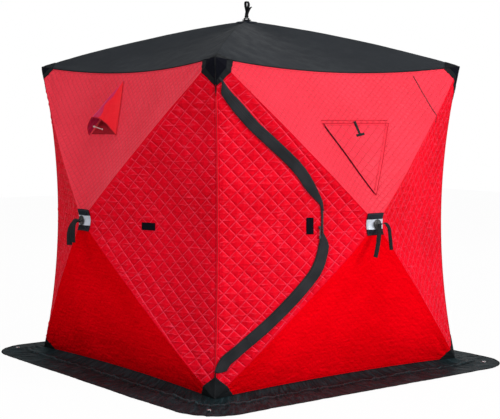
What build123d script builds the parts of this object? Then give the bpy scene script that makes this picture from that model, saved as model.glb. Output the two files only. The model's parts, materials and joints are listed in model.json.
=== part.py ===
from build123d import *
from dataclasses import dataclass
import math
import os

# Pop-up hub shelter: five pole-hub faces (four walls and a roof) over an open floor.
# Millimetres, +Z up.  Origin: centre of the footprint, on the ground.
# The door wall faces -Y, the vent wall faces -X.
# Each face is drawn in its own frame, seen from outside: x across, y up (towards +Y on
# the roof), z outwards, with the origin in the plane of the four corners.

os.makedirs("parts", exist_ok=True)

# ---------------------------------------------------------------- shelter
HALF = 900.0            # half width between the corners
Z_BOTTOM = 25.0         # lower corners (hem line)
Z_TOP = 1775.0          # upper corners (eave)
Z_HUB = (Z_BOTTOM + Z_TOP) / 2
WALL_HALF_HEIGHT = (Z_TOP - Z_BOTTOM) / 2
WALL_POP = 250.0        # hub apex outside the corner plane
ROOF_POP = 275.0
WALL_BOW = 22.0         # outward bow of the sprung poles
ROOF_BOW = 25.0
SAG_VERTICAL = 67.0     # draw-in of the wall's vertical edges at mid height
SAG_EAVE_DOWN = 55.0
SAG_EAVE_IN = 50.0
SAG_HEM_UP = 8.0
SAG_HEM_IN = 30.0
MIN_SOLID_VOLUME = 20.0  # boolean crumbs below this are dropped

# ---------------------------------------------------------------- cloth panels
CLOTH = 2.5             # quilted cloth thickness
SETBACK_CORNER = 0.014  # share of the run to the hub taken by the edge strip at a corner
STRIP_START = 3.0       # edge strip starts this far in from the cloth edge
STRIP_GAP = 3.5         # between edge strip and panel
STRIP_MIN_SHARE = 0.004  # least width of the strip, as a share of the run
CORNER_EASE = 0.985     # scales t where the setback is taken
SLEEVE_CLEAR = 27.0     # half width kept free of panel beside a tip sleeve
SLEEVE_REACH = 128.0    # how far from the corner that relief runs
RELIEF_OVERRUN = 20.0   # relief block continues past the corner

# ---------------------------------------------------------------- poles and hubs
POLE_R = 5.5
TIP_BACK = 75.0         # pole tips stop this far short of the corner
TIP_DEPTH = 18.0        # and this far inside the corner plane
TIP_R = 7.5
TIP_LENGTH = 34
EYE_HOLE_R = 3.2
EYE_R = 7.0
EYE_WIDTH = 10
PIN_RING_R = 32.0       # hub pins, distance from the hub axis
PIN_DEPTH = 30.0        # hub pins, below the cloth apex
PIN_R = 2.5
HUB_R = 46.0
HUB_T = 20.0
HUB_BEVEL = 2.5
NECK_R = 12
NECK_LENGTH = PIN_DEPTH + 4 - HUB_T / 2
BAIL_HEIGHT = 15        # bail axis above the cloth apex
PATCH_HALF = 60.0       # square cloth patch over the hub
PATCH_TOP_HALF = 14
PATCH_DROP = 8.5        # patch rim below the apex
PATCH_RISE = 0.5        # patch top above the apex
PATCH_NOTCH_R = 60.0    # patch is notched over each pole from this radius
PATCH_NOTCH_W = 22.0

# ---------------------------------------------------------------- door
DOOR_HINGE_X = -700.0
DOOR_GAP = 3.5
# zip line on the door wall: (across, up) from the wall centre, top corner to bottom corner
ZIP_LINE = [
    (-846, 728), (-797, 664), (-706, 560), (-566, 445), (-420, 305), (-322, 155), (-300, 85),
    (-296, 0), (-300, -55), (-345, -195), (-424, -299), (-590, -461), (-746, -591),
    (-846, -672),
]
ZIP_STEPS = 6           # spline points per stretch of the zip line
# slope of the door wall's left panel at mid height, in degrees
DOOR_SLOPE = math.degrees(math.atan2(WALL_POP + SAG_VERTICAL, HALF - SAG_VERTICAL))
PAD_AT = (-359, 0)
SLIDER_AT = (-311, -10)
FLAP_T = 2.0
FIXED_FLAP_LIFT = 6.0
FIXED_FLAP_START = 1.0  # flap edges, measured from the zip line away from the door
FIXED_FLAP_W = 44.0
MOVING_FLAP_LIFT = 7.0
MOVING_FLAP_START = -22.0
MOVING_FLAP_REACH = 66.0

# ---------------------------------------------------------------- window and vent
# triangles, (across, up) from the wall centre
WINDOW = [(-232, 540), (253, 540), (40, 140)]
WINDOW_HOLE = [(-214, 527), (235, 527), (39, 160)]
VENT_HOLE = [(84, 728), (-130, 566), (122, 525)]
VENT_TOP = (-4, 718)
VENT_LOW_LEFT = (-182, 468)
VENT_LOW_RIGHT = (93, 470)
VENT_TOP_HALF = 14      # half width of the hood's top edge
VENT_LIFT = 6.0
VENT_OPEN_DEG = 18.0
HOOD_T = 2.5
PROP_LENGTH = 54.0

# ---------------------------------------------------------------- corner pockets and skirt
SLEEVE_R = 21.5
SLEEVE_BORE_R = 19.0
SLEEVE_LENGTH = 27.0
CORNER_PATCH_T = 1.8
CORNER_PATCH_LIFT = 5.5

SKIRT_HALF = 1180.0
SKIRT_CORNER_R = 250.0
SKIRT_T = 3.0
HEM_HALF = 866.0
HEM_CORNER_R = 20
UPSTAND_HEIGHT = 22.0
ANCHOR_POS = 1025.0     # anchor eyelets, at the four corners
ANCHOR_R = 6.0

# ---------------------------------------------------------------- faces
# side of a face: outward direction in the face frame
SIDES = {"upper": (0, 1), "lower": (0, -1), "left": (-1, 0), "right": (1, 0)}
# corner of a face: signs of x and y
CORNERS = {"bl": (-1, -1), "tl": (-1, 1), "br": (1, -1), "tr": (1, 1)}

# side: (draw-in within the face plane, draw-in behind it, extra strip share at mid span)
WALL_EDGES = {
    "upper": (SAG_EAVE_DOWN, SAG_EAVE_IN, 0.095),
    "lower": (SAG_HEM_UP, SAG_HEM_IN, 0.05),
    "left": (SAG_VERTICAL, SAG_VERTICAL, 0.118),
    "right": (SAG_VERTICAL, SAG_VERTICAL, 0.118),
}
ROOF_EDGES = {side: (SAG_EAVE_IN, SAG_EAVE_DOWN, 0.095) for side in SIDES}


@dataclass
class HubFace:
    name: str
    plane: Plane
    half_height: float
    pop: float
    bow: float
    edges: dict
    seam_corner: float   # half gap along a ridge at the corner
    seam_hub: float      # half gap along a ridge at the hub
    inner_cut: float     # panels stop this far from the hub axis
    strap_tilt: float    # pull strap's angle out of the face plane


def wall(name, x_dir, normal, strap_tilt=20.0):
    origin = (normal[0] * HALF, normal[1] * HALF, Z_HUB)
    return HubFace(name, Plane(origin=origin, x_dir=x_dir, z_dir=normal),
                   half_height=WALL_HALF_HEIGHT, pop=WALL_POP, bow=WALL_BOW,
                   edges=WALL_EDGES, seam_corner=12.0, seam_hub=30.0, inner_cut=98.0,
                   strap_tilt=strap_tilt)


FRONT = wall("front", x_dir=(1, 0, 0), normal=(0, -1, 0))
LEFT = wall("left", x_dir=(0, -1, 0), normal=(-1, 0, 0), strap_tilt=38.0)
RIGHT = wall("right", x_dir=(0, 1, 0), normal=(1, 0, 0))
BACK = wall("back", x_dir=(-1, 0, 0), normal=(0, 1, 0))
# the roof stands taller, so its seam slack is larger
ROOF = HubFace("roof", Plane(origin=(0, 0, Z_TOP), x_dir=(1, 0, 0), z_dir=(0, 0, 1)),
               half_height=HALF, pop=ROOF_POP, bow=ROOF_BOW, edges=ROOF_EDGES,
               seam_corner=14.0, seam_hub=42.0, inner_cut=108.0, strap_tilt=90.0)
FACES = (FRONT, LEFT, RIGHT, BACK, ROOF)


# ---------------------------------------------------------------- helpers
def solids_of(shape):
    """Real solids only, biggest first, crumbs dropped."""
    real = [s for s in shape.solids() if s.volume > MIN_SOLID_VOLUME]
    return sorted(real, key=lambda s: -s.volume)


def to_world(face, solids):
    return [s.moved(face.plane.location) for s in solids]


def export_piece(name, solids):
    shape = solids[0] if len(solids) == 1 else Compound(children=solids)
    export_step(shape, f"parts/{name}.step")


def box_at(size, place=(0, 0, 0)):
    return Box(*size).solid().moved(Location(place))


def rod_across(radius, length, place=(0, 0, 0)):
    """Cylinder along x."""
    return Cylinder(radius, length, rotation=(0, 90, 0)).solid().moved(Location(place))


def rod_along(radius, length, centre, direction):
    rod = Cylinder(radius, length).solid()
    return rod.moved(Plane(origin=centre, z_dir=direction).location)


def polygon(points):
    return Wire.make_polygon([Vector(*p) for p in points], close=True)


def prism(outline, low=-400, high=600):
    """Cutter through the whole depth of a face, from (across, up) points."""
    base = Face(polygon([(x, y, low) for x, y in outline]))
    return Solid.extrude(base, Vector(0, 0, high - low))


def corner_reach(face):
    """Distance from the hub axis to a corner, in the face plane."""
    return math.hypot(HALF, face.half_height)


def ridge_direction(face, sx, sy):
    reach = corner_reach(face)
    return Vector(sx * HALF / reach, sy * face.half_height / reach, 0)


def ridge_location(face, sx, sy, z=0):
    """Turns local x onto a ridge, about the hub axis."""
    return Location((0, 0, z), (0, 0, math.degrees(math.atan2(sy * face.half_height, sx * HALF))))


# ---------------------------------------------------------------- cloth surface
# t runs along the outer edge, -1 to 1; v runs from that edge (0) to the hub (1).
def spans(face, side):
    """(hub axis to the edge, half length of the edge), in the face plane."""
    if side in ("upper", "lower"):
        return face.half_height, HALF
    return HALF, face.half_height


def panel_normal(face, side):
    out_x, out_y = SIDES[side]
    slope = math.atan2(face.pop, spans(face, side)[0])
    return Vector(out_x * math.sin(slope), out_y * math.sin(slope), math.cos(slope))


def cloth_point(face, side, t, v, lift=0.0):
    out_x, out_y = SIDES[side]
    span, half_edge = spans(face, side)
    sag_in, sag_back, _ = face.edges[side]
    sag = 1 - t * t
    w = 1 - v
    out = (span - sag_in * sag) * w
    along = half_edge * t * w
    z = -sag_back * sag * w + face.pop * v + face.bow * 4 * v * w * t * t
    on_cloth = Vector(out_x * out + abs(out_y) * along, out_y * out + abs(out_x) * along, z)
    return on_cloth + panel_normal(face, side) * lift


def surface_at(face, side, x, y, lift=0.0):
    """Cloth point above the face-plane position (x, y), found by iteration."""
    span, half_edge = spans(face, side)
    sag_in = face.edges[side][0]
    out, along = (abs(y), x) if side in ("upper", "lower") else (abs(x), y)
    t = 0.0
    for _ in range(40):
        v = 1 - out / (span - sag_in * (1 - t * t))
        t = max(-1.3, min(1.3, along / (half_edge * (1 - v))))
    return cloth_point(face, side, t, v, lift)


def cloth_solid(face, side, rows, thickness, tol):
    """Solid whose outer face passes through rows of points."""
    surface = Face.make_surface_from_array_of_points(rows, tol=tol, min_deg=1, max_deg=3)
    return Solid.extrude(surface, panel_normal(face, side) * -thickness)


def sheet(face, side, grid, thickness, lift=0.0):
    """Cloth solid through a grid of (t, v) pairs."""
    rows = [[cloth_point(face, side, t, v, lift) for t, v in row] for row in grid]
    return cloth_solid(face, side, rows, thickness, tol=0.05)


def edge_run(face, side):
    """Sloping distance from mid edge to the hub."""
    return math.hypot(spans(face, side)[0], face.pop)


def set_back(face, side, t):
    """Share of the run to the hub taken by the fixed edge strip."""
    return SETBACK_CORNER + face.edges[side][2] * (1 - t * t)


def t_limit(face, side, v):
    """How far along the edge the cloth reaches at this v, leaving the ridge gap."""
    half_edge = spans(face, side)[1]
    run = edge_run(face, side)
    cos_ridge = run / math.hypot(run, half_edge)
    gap = face.seam_corner + (face.seam_hub - face.seam_corner) * v
    return 1 - gap / (half_edge * (1 - v) * cos_ridge)


def grid_between(face, side, v_range, rows, columns=15):
    """(t, v) grid between the ridge gaps; v_range(u) gives the v limits at each column."""
    grid = []
    for i in range(columns):
        u = -1 + 2 * i / (columns - 1)
        start, end = v_range(u)
        vs = [start + (end - start) * j / (rows - 1) for j in range(rows)]
        grid.append([(u * t_limit(face, side, v), v) for v in vs])
    return grid


def folding_panel(face, side):
    """Panel between two ridges, cut clear of the tip sleeves."""
    v_end = 1 - face.inner_cut / spans(face, side)[0]

    def v_range(u):
        return set_back(face, side, u * CORNER_EASE), v_end

    panel = sheet(face, side, grid_between(face, side, v_range, rows=9), CLOTH)
    length = SLEEVE_REACH + RELIEF_OVERRUN
    centre_x = corner_reach(face) - SLEEVE_REACH + length / 2
    for sx, sy in CORNERS.values():
        block = box_at((length, 2 * SLEEVE_CLEAR, 300), (centre_x, 0, 0))
        panel = panel - block.moved(ridge_location(face, sx, sy))
    return solids_of(panel)[0]


def edge_strip(face, side):
    """Fixed cloth between the outer edge and the folding panel."""
    run = edge_run(face, side)
    start = STRIP_START / run

    def v_range(u):
        end = set_back(face, side, u * CORNER_EASE) - STRIP_GAP / run
        return start, max(end, start + STRIP_MIN_SHARE)

    return sheet(face, side, grid_between(face, side, v_range, rows=3), CLOTH)


# ---------------------------------------------------------------- door
def spline_points(points, steps):
    """Catmull-Rom run through the given points."""
    out = []
    padded = [points[0]] + list(points) + [points[-1]]
    for p0, p1, p2, p3 in zip(padded, padded[1:], padded[2:], padded[3:]):
        for k in range(steps):
            s = k / steps
            out.append(tuple(
                0.5 * (2 * b + (c - a) * s + (2 * a - 5 * b + 4 * c - d) * s * s
                       + (3 * b - a - 3 * c + d) * s ** 3)
                for a, b, c, d in zip(p0, p1, p2, p3)))
    out.append(tuple(points[-1]))
    return out


def offset_line(line, distances):
    """Shift each point sideways by its distance; positive is away from the door."""
    out = []
    for i, (point, distance) in enumerate(zip(line, distances)):
        before = line[max(0, i - 1)]
        after = line[min(len(line) - 1, i + 1)]
        dx, dy = after[0] - before[0], after[1] - before[1]
        length = math.hypot(dx, dy)
        out.append((point[0] - dy / length * distance, point[1] + dx / length * distance))
    return out


ZIP = spline_points(ZIP_LINE, ZIP_STEPS)


def door_outline(inset):
    """D shape: the zip run moved towards the hinge side, closed by the fold line."""
    hinge_x = DOOR_HINGE_X + inset
    run = [q for q in offset_line(ZIP, [-inset] * len(ZIP)) if q[0] > hinge_x]
    return [(hinge_x, run[0][1])] + run + [(hinge_x, run[-1][1])]


def storm_flap(run, near, far, lift):
    """Band on the door wall's left panel between two offsets of a zip run."""
    rows = []
    for a, b in zip(offset_line(run, near), offset_line(run, far)):
        rows.append([surface_at(FRONT, "left", a[0] + (b[0] - a[0]) * k / 2,
                                a[1] + (b[1] - a[1]) * k / 2, lift) for k in range(3)])
    return cloth_solid(FRONT, "left", rows, FLAP_T, tol=0.1)


def flap_taper(steps_from_tip):
    """Share of the full flap width, narrow at the end nearest mid height."""
    return min(1.0, 0.15 + steps_from_tip / 8.0)


def fixed_flap():
    """Upper storm flap, from the opening edge outwards over the wall."""
    run = [q for q in ZIP if q[1] > 80 and q[0] > -800]
    near = [FIXED_FLAP_START] * len(run)
    far = [FIXED_FLAP_START + FIXED_FLAP_W * flap_taper(len(run) - 1 - i)
           for i in range(len(run))]
    return storm_flap(run, near, far, FIXED_FLAP_LIFT)


def moving_flap():
    """Lower storm flap, starting on the door and reaching over the opening edge."""
    run = [q for q in ZIP if q[1] < -60 and q[0] > -660]
    near = [MOVING_FLAP_START] * len(run)
    far = [MOVING_FLAP_REACH * flap_taper(i) for i in range(len(run))]
    return storm_flap(run, near, far, MOVING_FLAP_LIFT)


def door_pad():
    """Hook-and-loop pad near the free edge of the door."""
    spot = surface_at(FRONT, "left", *PAD_AT, lift=0.5)
    pad = Box(38, 88, 2.0).solid().rotate(Axis.Y, -DOOR_SLOPE)
    return pad.moved(Location((spot.X, spot.Y, spot.Z + 2.2)))


# Zip slider frame: z off the cloth, x across the slider; the axle lies along x.
AXLE_AT = (0, 0, 4.0)
AXLE_R = 1.8
TAB_BORE_R = 2.6


def place_on_zip(shape):
    spot = surface_at(FRONT, "left", *SLIDER_AT)
    place = Location((spot.X, spot.Y, spot.Z + 7.5), (0, -DOOR_SLOPE, 0))
    return [s.moved(place) for s in shape.solids()]


def zip_slider():
    """Slider, ears and axle, carried by the door edge."""
    slider = box_at((11, 16, 6), (0, 0, -3.6))
    for x in (-4.3, 4.3):
        slider = slider + box_at((2.0, 6.0, 8.0), (x, 0, 3.0))
    return place_on_zip(slider + rod_across(AXLE_R, 10.6, AXLE_AT))


def zip_pull():
    """Tab that swings on the slider's axle, with a grip at its end."""
    tab = box_at((5.0, 44, 2.2), (0, -26, 4.0)) + rod_across(3.8, 5.0, AXLE_AT)
    tab = tab - rod_across(TAB_BORE_R, 30, AXLE_AT)
    return place_on_zip(tab + box_at((9.0, 16, 4.0), (0, -50, 4.0)))


def door():
    panel = folding_panel(FRONT, "left") & prism(door_outline(DOOR_GAP))
    return solids_of(panel)[:1] + [door_pad()] + zip_slider()


# ---------------------------------------------------------------- window
def window_sheet(thickness, lift, shrink=0.0, count=9):
    """Triangle of cloth or film, level edge on top, drawn in towards its centroid."""
    cx = sum(x for x, _ in WINDOW) / 3
    cy = sum(y for _, y in WINDOW) / 3
    scale = 1 - shrink / math.hypot(WINDOW[0][0] - cx, WINDOW[0][1] - cy)
    left, right, low = [(cx + (x - cx) * scale, cy + (y - cy) * scale) for x, y in WINDOW]
    rows = []
    for i in range(count):
        down = i / (count - 1) * 0.97    # stops short of the point, leaving a small edge
        row = []
        for j in range(count):
            across = j / (count - 1)
            x = left[0] + (right[0] - left[0]) * across
            y = left[1] + (right[1] - left[1]) * across
            row.append(surface_at(FRONT, "upper", x + (low[0] - x) * down,
                                  y + (low[1] - y) * down, lift))
        rows.append(row)
    return cloth_solid(FRONT, "upper", rows, thickness, tol=0.1)


# ---------------------------------------------------------------- vent hood and its prop
def hood_corners():
    """Top left, top right, low right, low left of the open hood, in one plane."""
    def on_vent(x, y):
        return surface_at(LEFT, "upper", x, y, VENT_LIFT)

    top_left = on_vent(VENT_TOP[0] - VENT_TOP_HALF, VENT_TOP[1])
    top_right = on_vent(VENT_TOP[0] + VENT_TOP_HALF, VENT_TOP[1])
    low_left = on_vent(*VENT_LOW_LEFT)
    low_right = on_vent(*VENT_LOW_RIGHT)
    low_mid = on_vent((VENT_LOW_LEFT[0] + VENT_LOW_RIGHT[0]) / 2,
                      (VENT_LOW_LEFT[1] + VENT_LOW_RIGHT[1]) / 2)
    hinge_y, hinge_z = top_left.Y, top_left.Z
    wall_slope = (low_mid.Z - hinge_z) / (hinge_y - low_mid.Y)
    swing = math.radians(VENT_OPEN_DEG)
    corners = []
    for x, y in ((top_left.X, hinge_y), (top_right.X, hinge_y),
                 (low_right.X, low_right.Y), (low_left.X, low_left.Y)):
        dy = y - hinge_y
        dz = -dy * wall_slope
        # turn outwards about the level line through the hood top
        corners.append(Vector(x, hinge_y + dy * math.cos(swing) + dz * math.sin(swing),
                              hinge_z - dy * math.sin(swing) + dz * math.cos(swing)))
    return corners


def vent_hood_and_prop():
    across = Vector(1, 0, 0)
    corners = hood_corners()
    top, low_right, low_left = corners[0], corners[2], corners[3]
    hood_face = Face(polygon(corners))
    outward = hood_face.normal_at()
    if outward.Z < 0:
        outward = -outward
    hood = Solid.extrude(hood_face, outward * HOOD_T)

    rim = low_right - low_left
    rim_mid = (low_right + low_left) * 0.5
    hood = hood + rod_along(3.0, rim.length - 16, rim_mid, rim.normalized())

    # ears under the rim carry the prop pin
    up_hood = Vector(0, top.Y - rim_mid.Y, top.Z - rim_mid.Z).normalized()
    pin_centre = rim_mid - outward * 9.0 + up_hood * 14.0
    ear_offsets = (across * 6.5, across * -6.5)
    for offset in ear_offsets:
        hood = hood + rod_along(5.0, 2.5, pin_centre + offset, across)
    for offset in ear_offsets:
        root = Plane(origin=pin_centre + offset + outward * 5.0, x_dir=across, z_dir=outward)
        hood = hood + Box(2.5, 9, 10).solid().moved(root.location)
    hood = hood + rod_along(1.8, 15.5, pin_centre, across)

    # prop: rod with an eye round the pin and a ball foot
    down = Vector(0, -0.30, -1.0).normalized()
    rod = rod_along(2.6, PROP_LENGTH - 4, pin_centre + down * (PROP_LENGTH / 2 + 2), down)
    eye = (Cylinder(5.0, 7.0) - Cylinder(2.6, 9.0)).solid()
    eye = eye.moved(Plane(origin=pin_centre, z_dir=across).location)
    foot = Sphere(4.5).solid().moved(Location(tuple(pin_centre + down * PROP_LENGTH)))
    prop = (rod - rod_along(4.0, 12.0, pin_centre, across)) + eye + foot
    return solids_of(hood), solids_of(prop)


# ---------------------------------------------------------------- hubs
def puck(radius, thickness, bevel_low, bevel_high, z):
    """Disc with bevelled rims, centred at height z on the hub axis."""
    half = thickness / 2
    profile = [(0, 0, -half), (radius - bevel_low, 0, -half)]
    if bevel_low > 0:
        profile.append((radius, 0, -half + bevel_low))
    profile += [(radius, 0, half - bevel_high), (radius - bevel_high, 0, half), (0, 0, half)]
    return revolve(Face(polygon(profile)), axis=Axis.Z).solid().moved(Location((0, 0, z)))


def hub_patch(face):
    """Low pyramid of cloth over the hub, notched over the poles."""
    def square(half, z):
        return polygon([(sx * half, sy * half, z)
                        for sx, sy in ((-1, -1), (1, -1), (1, 1), (-1, 1))])

    outer = Solid.make_loft([square(PATCH_HALF, face.pop - PATCH_DROP),
                             square(PATCH_TOP_HALF, face.pop + PATCH_RISE)], ruled=True)
    patch = outer - outer.moved(Location((0, 0, -CLOTH)))
    patch = patch - Cylinder(NECK_R + 0.2, 60).solid().moved(Location((0, 0, face.pop)))
    for sx, sy in CORNERS.values():
        notch = box_at((60, PATCH_NOTCH_W, 60), (PATCH_NOTCH_R + 30, 0, face.pop))
        patch = patch - notch.moved(ridge_location(face, sx, sy))
    return patch


def hub(face):
    core_z = face.pop - PIN_DEPTH
    body = puck(HUB_R, HUB_T, HUB_BEVEL, HUB_BEVEL, core_z)
    neck_z = core_z + HUB_T / 2 + NECK_LENGTH / 2
    body = body + Cylinder(NECK_R, NECK_LENGTH).solid().moved(Location((0, 0, neck_z)))
    body = body + puck(27, 5, 0.0, 2.0, face.pop + 5.5)
    # bail over the cap for the pull strap
    for x in (-15, 15):
        body = body + box_at((4, 12, 12), (x, 0, face.pop + 13))
    body = body + rod_across(PIN_R, 32, (0, 0, face.pop + BAIL_HEIGHT))

    def pin_at(radius, length, turn):
        pin = Cylinder(radius, length, rotation=(90, 0, 0)).solid()
        return pin.moved(Location((PIN_RING_R, 0, 0))).moved(turn)

    pins = []
    for sx, sy in CORNERS.values():
        turn = ridge_location(face, sx, sy, core_z)
        slot = box_at((60, 14, HUB_T + 6), (PIN_RING_R - 9 + 30, 0, 0))
        body = body - slot.moved(turn)
        body = body - pin_at(PIN_R + 0.05, 26, turn)
        pins.append(pin_at(PIN_R, 25, turn))
    return solids_of(body) + pins + solids_of(hub_patch(face))


# ---------------------------------------------------------------- poles
def pole(face, sx, sy):
    """Bowed pole along one ridge, with an eye fitting at the hub and a rounded tip."""
    ridge = ridge_direction(face, sx, sy)
    pin_centre = ridge * PIN_RING_R + Vector(0, 0, face.pop - PIN_DEPTH)
    tip_end = ridge * (corner_reach(face) - TIP_BACK) + Vector(0, 0, -TIP_DEPTH)
    chord = tip_end - pin_centre
    tangent = ridge.cross(Vector(0, 0, 1))      # parallel to the hub pin
    outward = tangent.cross(chord.normalized())

    def at(s):
        return pin_centre + chord * s + outward * (face.bow * 4 * s * (1 - s))

    curve = Edge.make_three_point_arc(at(0.035), at(0.51), at(0.985))
    profile = Face(Wire.make_circle(POLE_R, Plane(origin=curve @ 0, z_dir=curve % 0)))
    rod = Solid.sweep(profile.outer_wire(), path=Wire([curve]), transition=Transition.ROUND)

    # hub-end socket with the pin eye
    start_dir = (at(0.09) - at(0.0)).normalized()

    def blade_box(size, distance):
        place = Plane(origin=pin_centre + start_dir * distance, x_dir=start_dir,
                      z_dir=start_dir.cross(tangent))
        return Box(*size).solid().moved(place.location)

    socket = rod_along(8.0, 56, pin_centre + start_dir * (18 + 28), start_dir)
    blade = blade_box((26, EYE_WIDTH, 13), 7.0)
    eye = rod_along(EYE_R, EYE_WIDTH, pin_centre, tangent)
    hole = rod_along(EYE_HOLE_R, 30, pin_centre, tangent)
    # the blade is trimmed off behind the pin, where the round eye takes over
    fitting = (blade - blade_box((20, 30, 30), -10)) + eye + socket - hole
    fitting = fitting + rod

    end_dir = (at(1.0) - at(0.95)).normalized()
    tip = rod_along(TIP_R, TIP_LENGTH, tip_end - end_dir * (TIP_LENGTH / 2), end_dir)
    tip = tip + Sphere(TIP_R).solid().moved(Location(tuple(tip_end)))
    return solids_of(fitting + tip)


# ---------------------------------------------------------------- pull straps
def pull_strap(face):
    """Webbing knotted round the bail; drawn along -y, then tilted outwards."""
    knot = rod_across(7.0, 22) + box_at((20, 16, 12), (0, -9, 0))
    knot = knot - rod_across(3.4, 40)
    if face is ROOF:
        # a loop standing up from the bail, with one short tail
        leg = box_at((20, 52, 2.5), (0, -36, 0))
        ring = Cylinder(24, 20, rotation=(0, 90, 0)) - Cylinder(21.5, 22, rotation=(0, 90, 0))
        ring = ring.solid().moved(Location((0, -84, 0)))
        tail = box_at((18, 40, 2.2), (0, -20, 0)).moved(Location((0, -24, -2), (-38, 0, 0)))
        strap = knot + leg + ring + tail
    else:
        # two splayed tails
        tail_1 = box_at((20, 150, 2.2), (0, -82, 0)).moved(Location((0, 0, 0), (0, 0, -9)))
        tail_2 = box_at((20, 138, 2.2), (0, -76, 0)).moved(Location((0, 0, 2.2), (0, 0, 13)))
        strap = knot + tail_1 + tail_2
    strap = strap.moved(Location((0, 0, 0), (-face.strap_tilt, 0, 0)))
    return [s.moved(Location((0, 0, face.pop + BAIL_HEIGHT))) for s in solids_of(strap)]


# ---------------------------------------------------------------- corner pockets
def corner_pocket(face, sx, sy):
    """Sleeve round the pole tip and a cloth patch on each side of the ridge."""
    ridge = ridge_direction(face, sx, sy)
    distance = corner_reach(face) - TIP_BACK - SLEEVE_LENGTH / 2
    centre = ridge * distance + Vector(0, 0, -TIP_DEPTH)
    bore = Cylinder(SLEEVE_BORE_R, SLEEVE_LENGTH + 10).solid()
    sleeve = Cylinder(SLEEVE_R, SLEEVE_LENGTH).solid() - bore
    pocket = [sleeve.moved(Plane(origin=centre, z_dir=ridge).location).solid()]
    for side, sign in (("upper" if sy > 0 else "lower", sx),
                       ("right" if sx > 0 else "left", sy)):
        grid = []
        for i in range(7):
            t = 0.87 + (0.985 - 0.87) * i / 6
            v_end = 0.012 + 0.075 * i / 6
            grid.append([(sign * t, 0.003 + (v_end - 0.003) * j / 2) for j in range(3)])
        pocket.append(sheet(face, side, grid, CORNER_PATCH_T, lift=CORNER_PATCH_LIFT))
    return pocket


# ---------------------------------------------------------------- snow skirt
def rounded_slab(half, corner_r, height, both=False):
    return extrude(RectangleRounded(2 * half, 2 * half, corner_r), amount=height, both=both)


def snow_skirt():
    """Flat ring on the ground with anchor eyelets and an upstand round the hem."""
    ring = rounded_slab(SKIRT_HALF, SKIRT_CORNER_R, SKIRT_T)
    ring -= rounded_slab(HEM_HALF, HEM_CORNER_R, SKIRT_T * 3, both=True)
    for sx, sy in CORNERS.values():
        ring -= Cylinder(ANCHOR_R, 20).moved(Location((sx * ANCHOR_POS, sy * ANCHOR_POS, 0)))
    upstand = rounded_slab(HEM_HALF + SKIRT_T, HEM_CORNER_R + SKIRT_T, UPSTAND_HEIGHT)
    upstand = upstand - rounded_slab(HEM_HALF, HEM_CORNER_R, UPSTAND_HEIGHT)
    return list((ring + upstand).solids())


# ---------------------------------------------------------------- write the pieces
# (face, side): outline of the opening in that panel
OPENINGS = {
    ("front", "left"): door_outline(0.0),
    ("front", "upper"): WINDOW_HOLE,
    ("left", "upper"): VENT_HOLE,
}

edge_strips = []
corner_pockets = []
for face in FACES:
    for side in SIDES:
        panel = folding_panel(face, side)
        opening = OPENINGS.get((face.name, side))
        solids = solids_of(panel - prism(opening)) if opening else [panel]
        if face is FRONT and side == "left":
            solids.append(fixed_flap())
        export_piece(f"{face.name}_panel_{side}", to_world(face, solids))
        edge_strips += to_world(face, [edge_strip(face, side)])
    for corner, (sx, sy) in CORNERS.items():
        export_piece(f"{face.name}_pole_{corner}", to_world(face, pole(face, sx, sy)))
        corner_pockets += to_world(face, corner_pocket(face, sx, sy))
    export_piece(f"{face.name}_hub", to_world(face, hub(face)))
    export_piece(f"{face.name}_pull_strap", to_world(face, pull_strap(face)))

export_piece("edge_strips", edge_strips)
export_piece("corner_pockets", corner_pockets)
export_piece("door_panel", to_world(FRONT, door()))
export_piece("door_zip_flap", to_world(FRONT, [moving_flap()]))
export_piece("zip_pull", to_world(FRONT, zip_pull()))
export_piece("window_cover", to_world(FRONT, [window_sheet(2.0, lift=6.0)]))
export_piece("window_pane", to_world(FRONT, [window_sheet(0.8, lift=-6.5, shrink=10.0)]))
vent_hood, vent_prop = vent_hood_and_prop()
export_piece("vent_hood", to_world(LEFT, vent_hood))
export_piece("vent_prop", to_world(LEFT, vent_prop))
export_piece("snow_skirt", snow_skirt())
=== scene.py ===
"""A pop-up hub shelter: four quilted cloth walls and a roof, each pushed out by a hub.

Metres, +Z up, centred on the Z axis, the skirt lying on z = 0. The front wall faces -Y and
carries the window and, in its left triangle, the zipped door. The left wall faces -X and
carries the vent hood. Every face is split by its poles into four triangular sides.

Each face has its own axes: x to the right seen from outside, y up (+Y on the roof), z outward.
"""
import json
import math
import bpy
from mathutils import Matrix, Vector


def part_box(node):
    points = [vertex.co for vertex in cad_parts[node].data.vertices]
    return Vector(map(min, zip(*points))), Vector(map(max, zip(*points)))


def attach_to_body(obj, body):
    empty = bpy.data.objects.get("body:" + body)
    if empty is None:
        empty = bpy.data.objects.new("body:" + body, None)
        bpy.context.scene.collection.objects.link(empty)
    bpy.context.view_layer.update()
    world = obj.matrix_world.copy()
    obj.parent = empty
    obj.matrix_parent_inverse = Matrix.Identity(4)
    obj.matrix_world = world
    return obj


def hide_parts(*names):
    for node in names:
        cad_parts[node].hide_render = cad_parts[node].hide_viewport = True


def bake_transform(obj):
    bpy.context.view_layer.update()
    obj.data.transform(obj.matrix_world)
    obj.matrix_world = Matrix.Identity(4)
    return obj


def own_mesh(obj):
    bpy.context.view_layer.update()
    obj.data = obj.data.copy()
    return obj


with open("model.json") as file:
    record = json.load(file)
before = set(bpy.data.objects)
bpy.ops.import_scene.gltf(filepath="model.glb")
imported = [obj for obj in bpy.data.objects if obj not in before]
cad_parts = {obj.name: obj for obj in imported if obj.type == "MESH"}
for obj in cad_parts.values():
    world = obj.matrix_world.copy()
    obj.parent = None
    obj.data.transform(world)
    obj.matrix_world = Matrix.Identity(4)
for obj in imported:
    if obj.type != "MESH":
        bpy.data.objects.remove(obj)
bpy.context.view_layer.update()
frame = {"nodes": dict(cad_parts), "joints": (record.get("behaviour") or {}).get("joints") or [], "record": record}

from types import SimpleNamespace

import bmesh
import bpy
import numpy as np
from mathutils import Matrix, Vector

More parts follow.
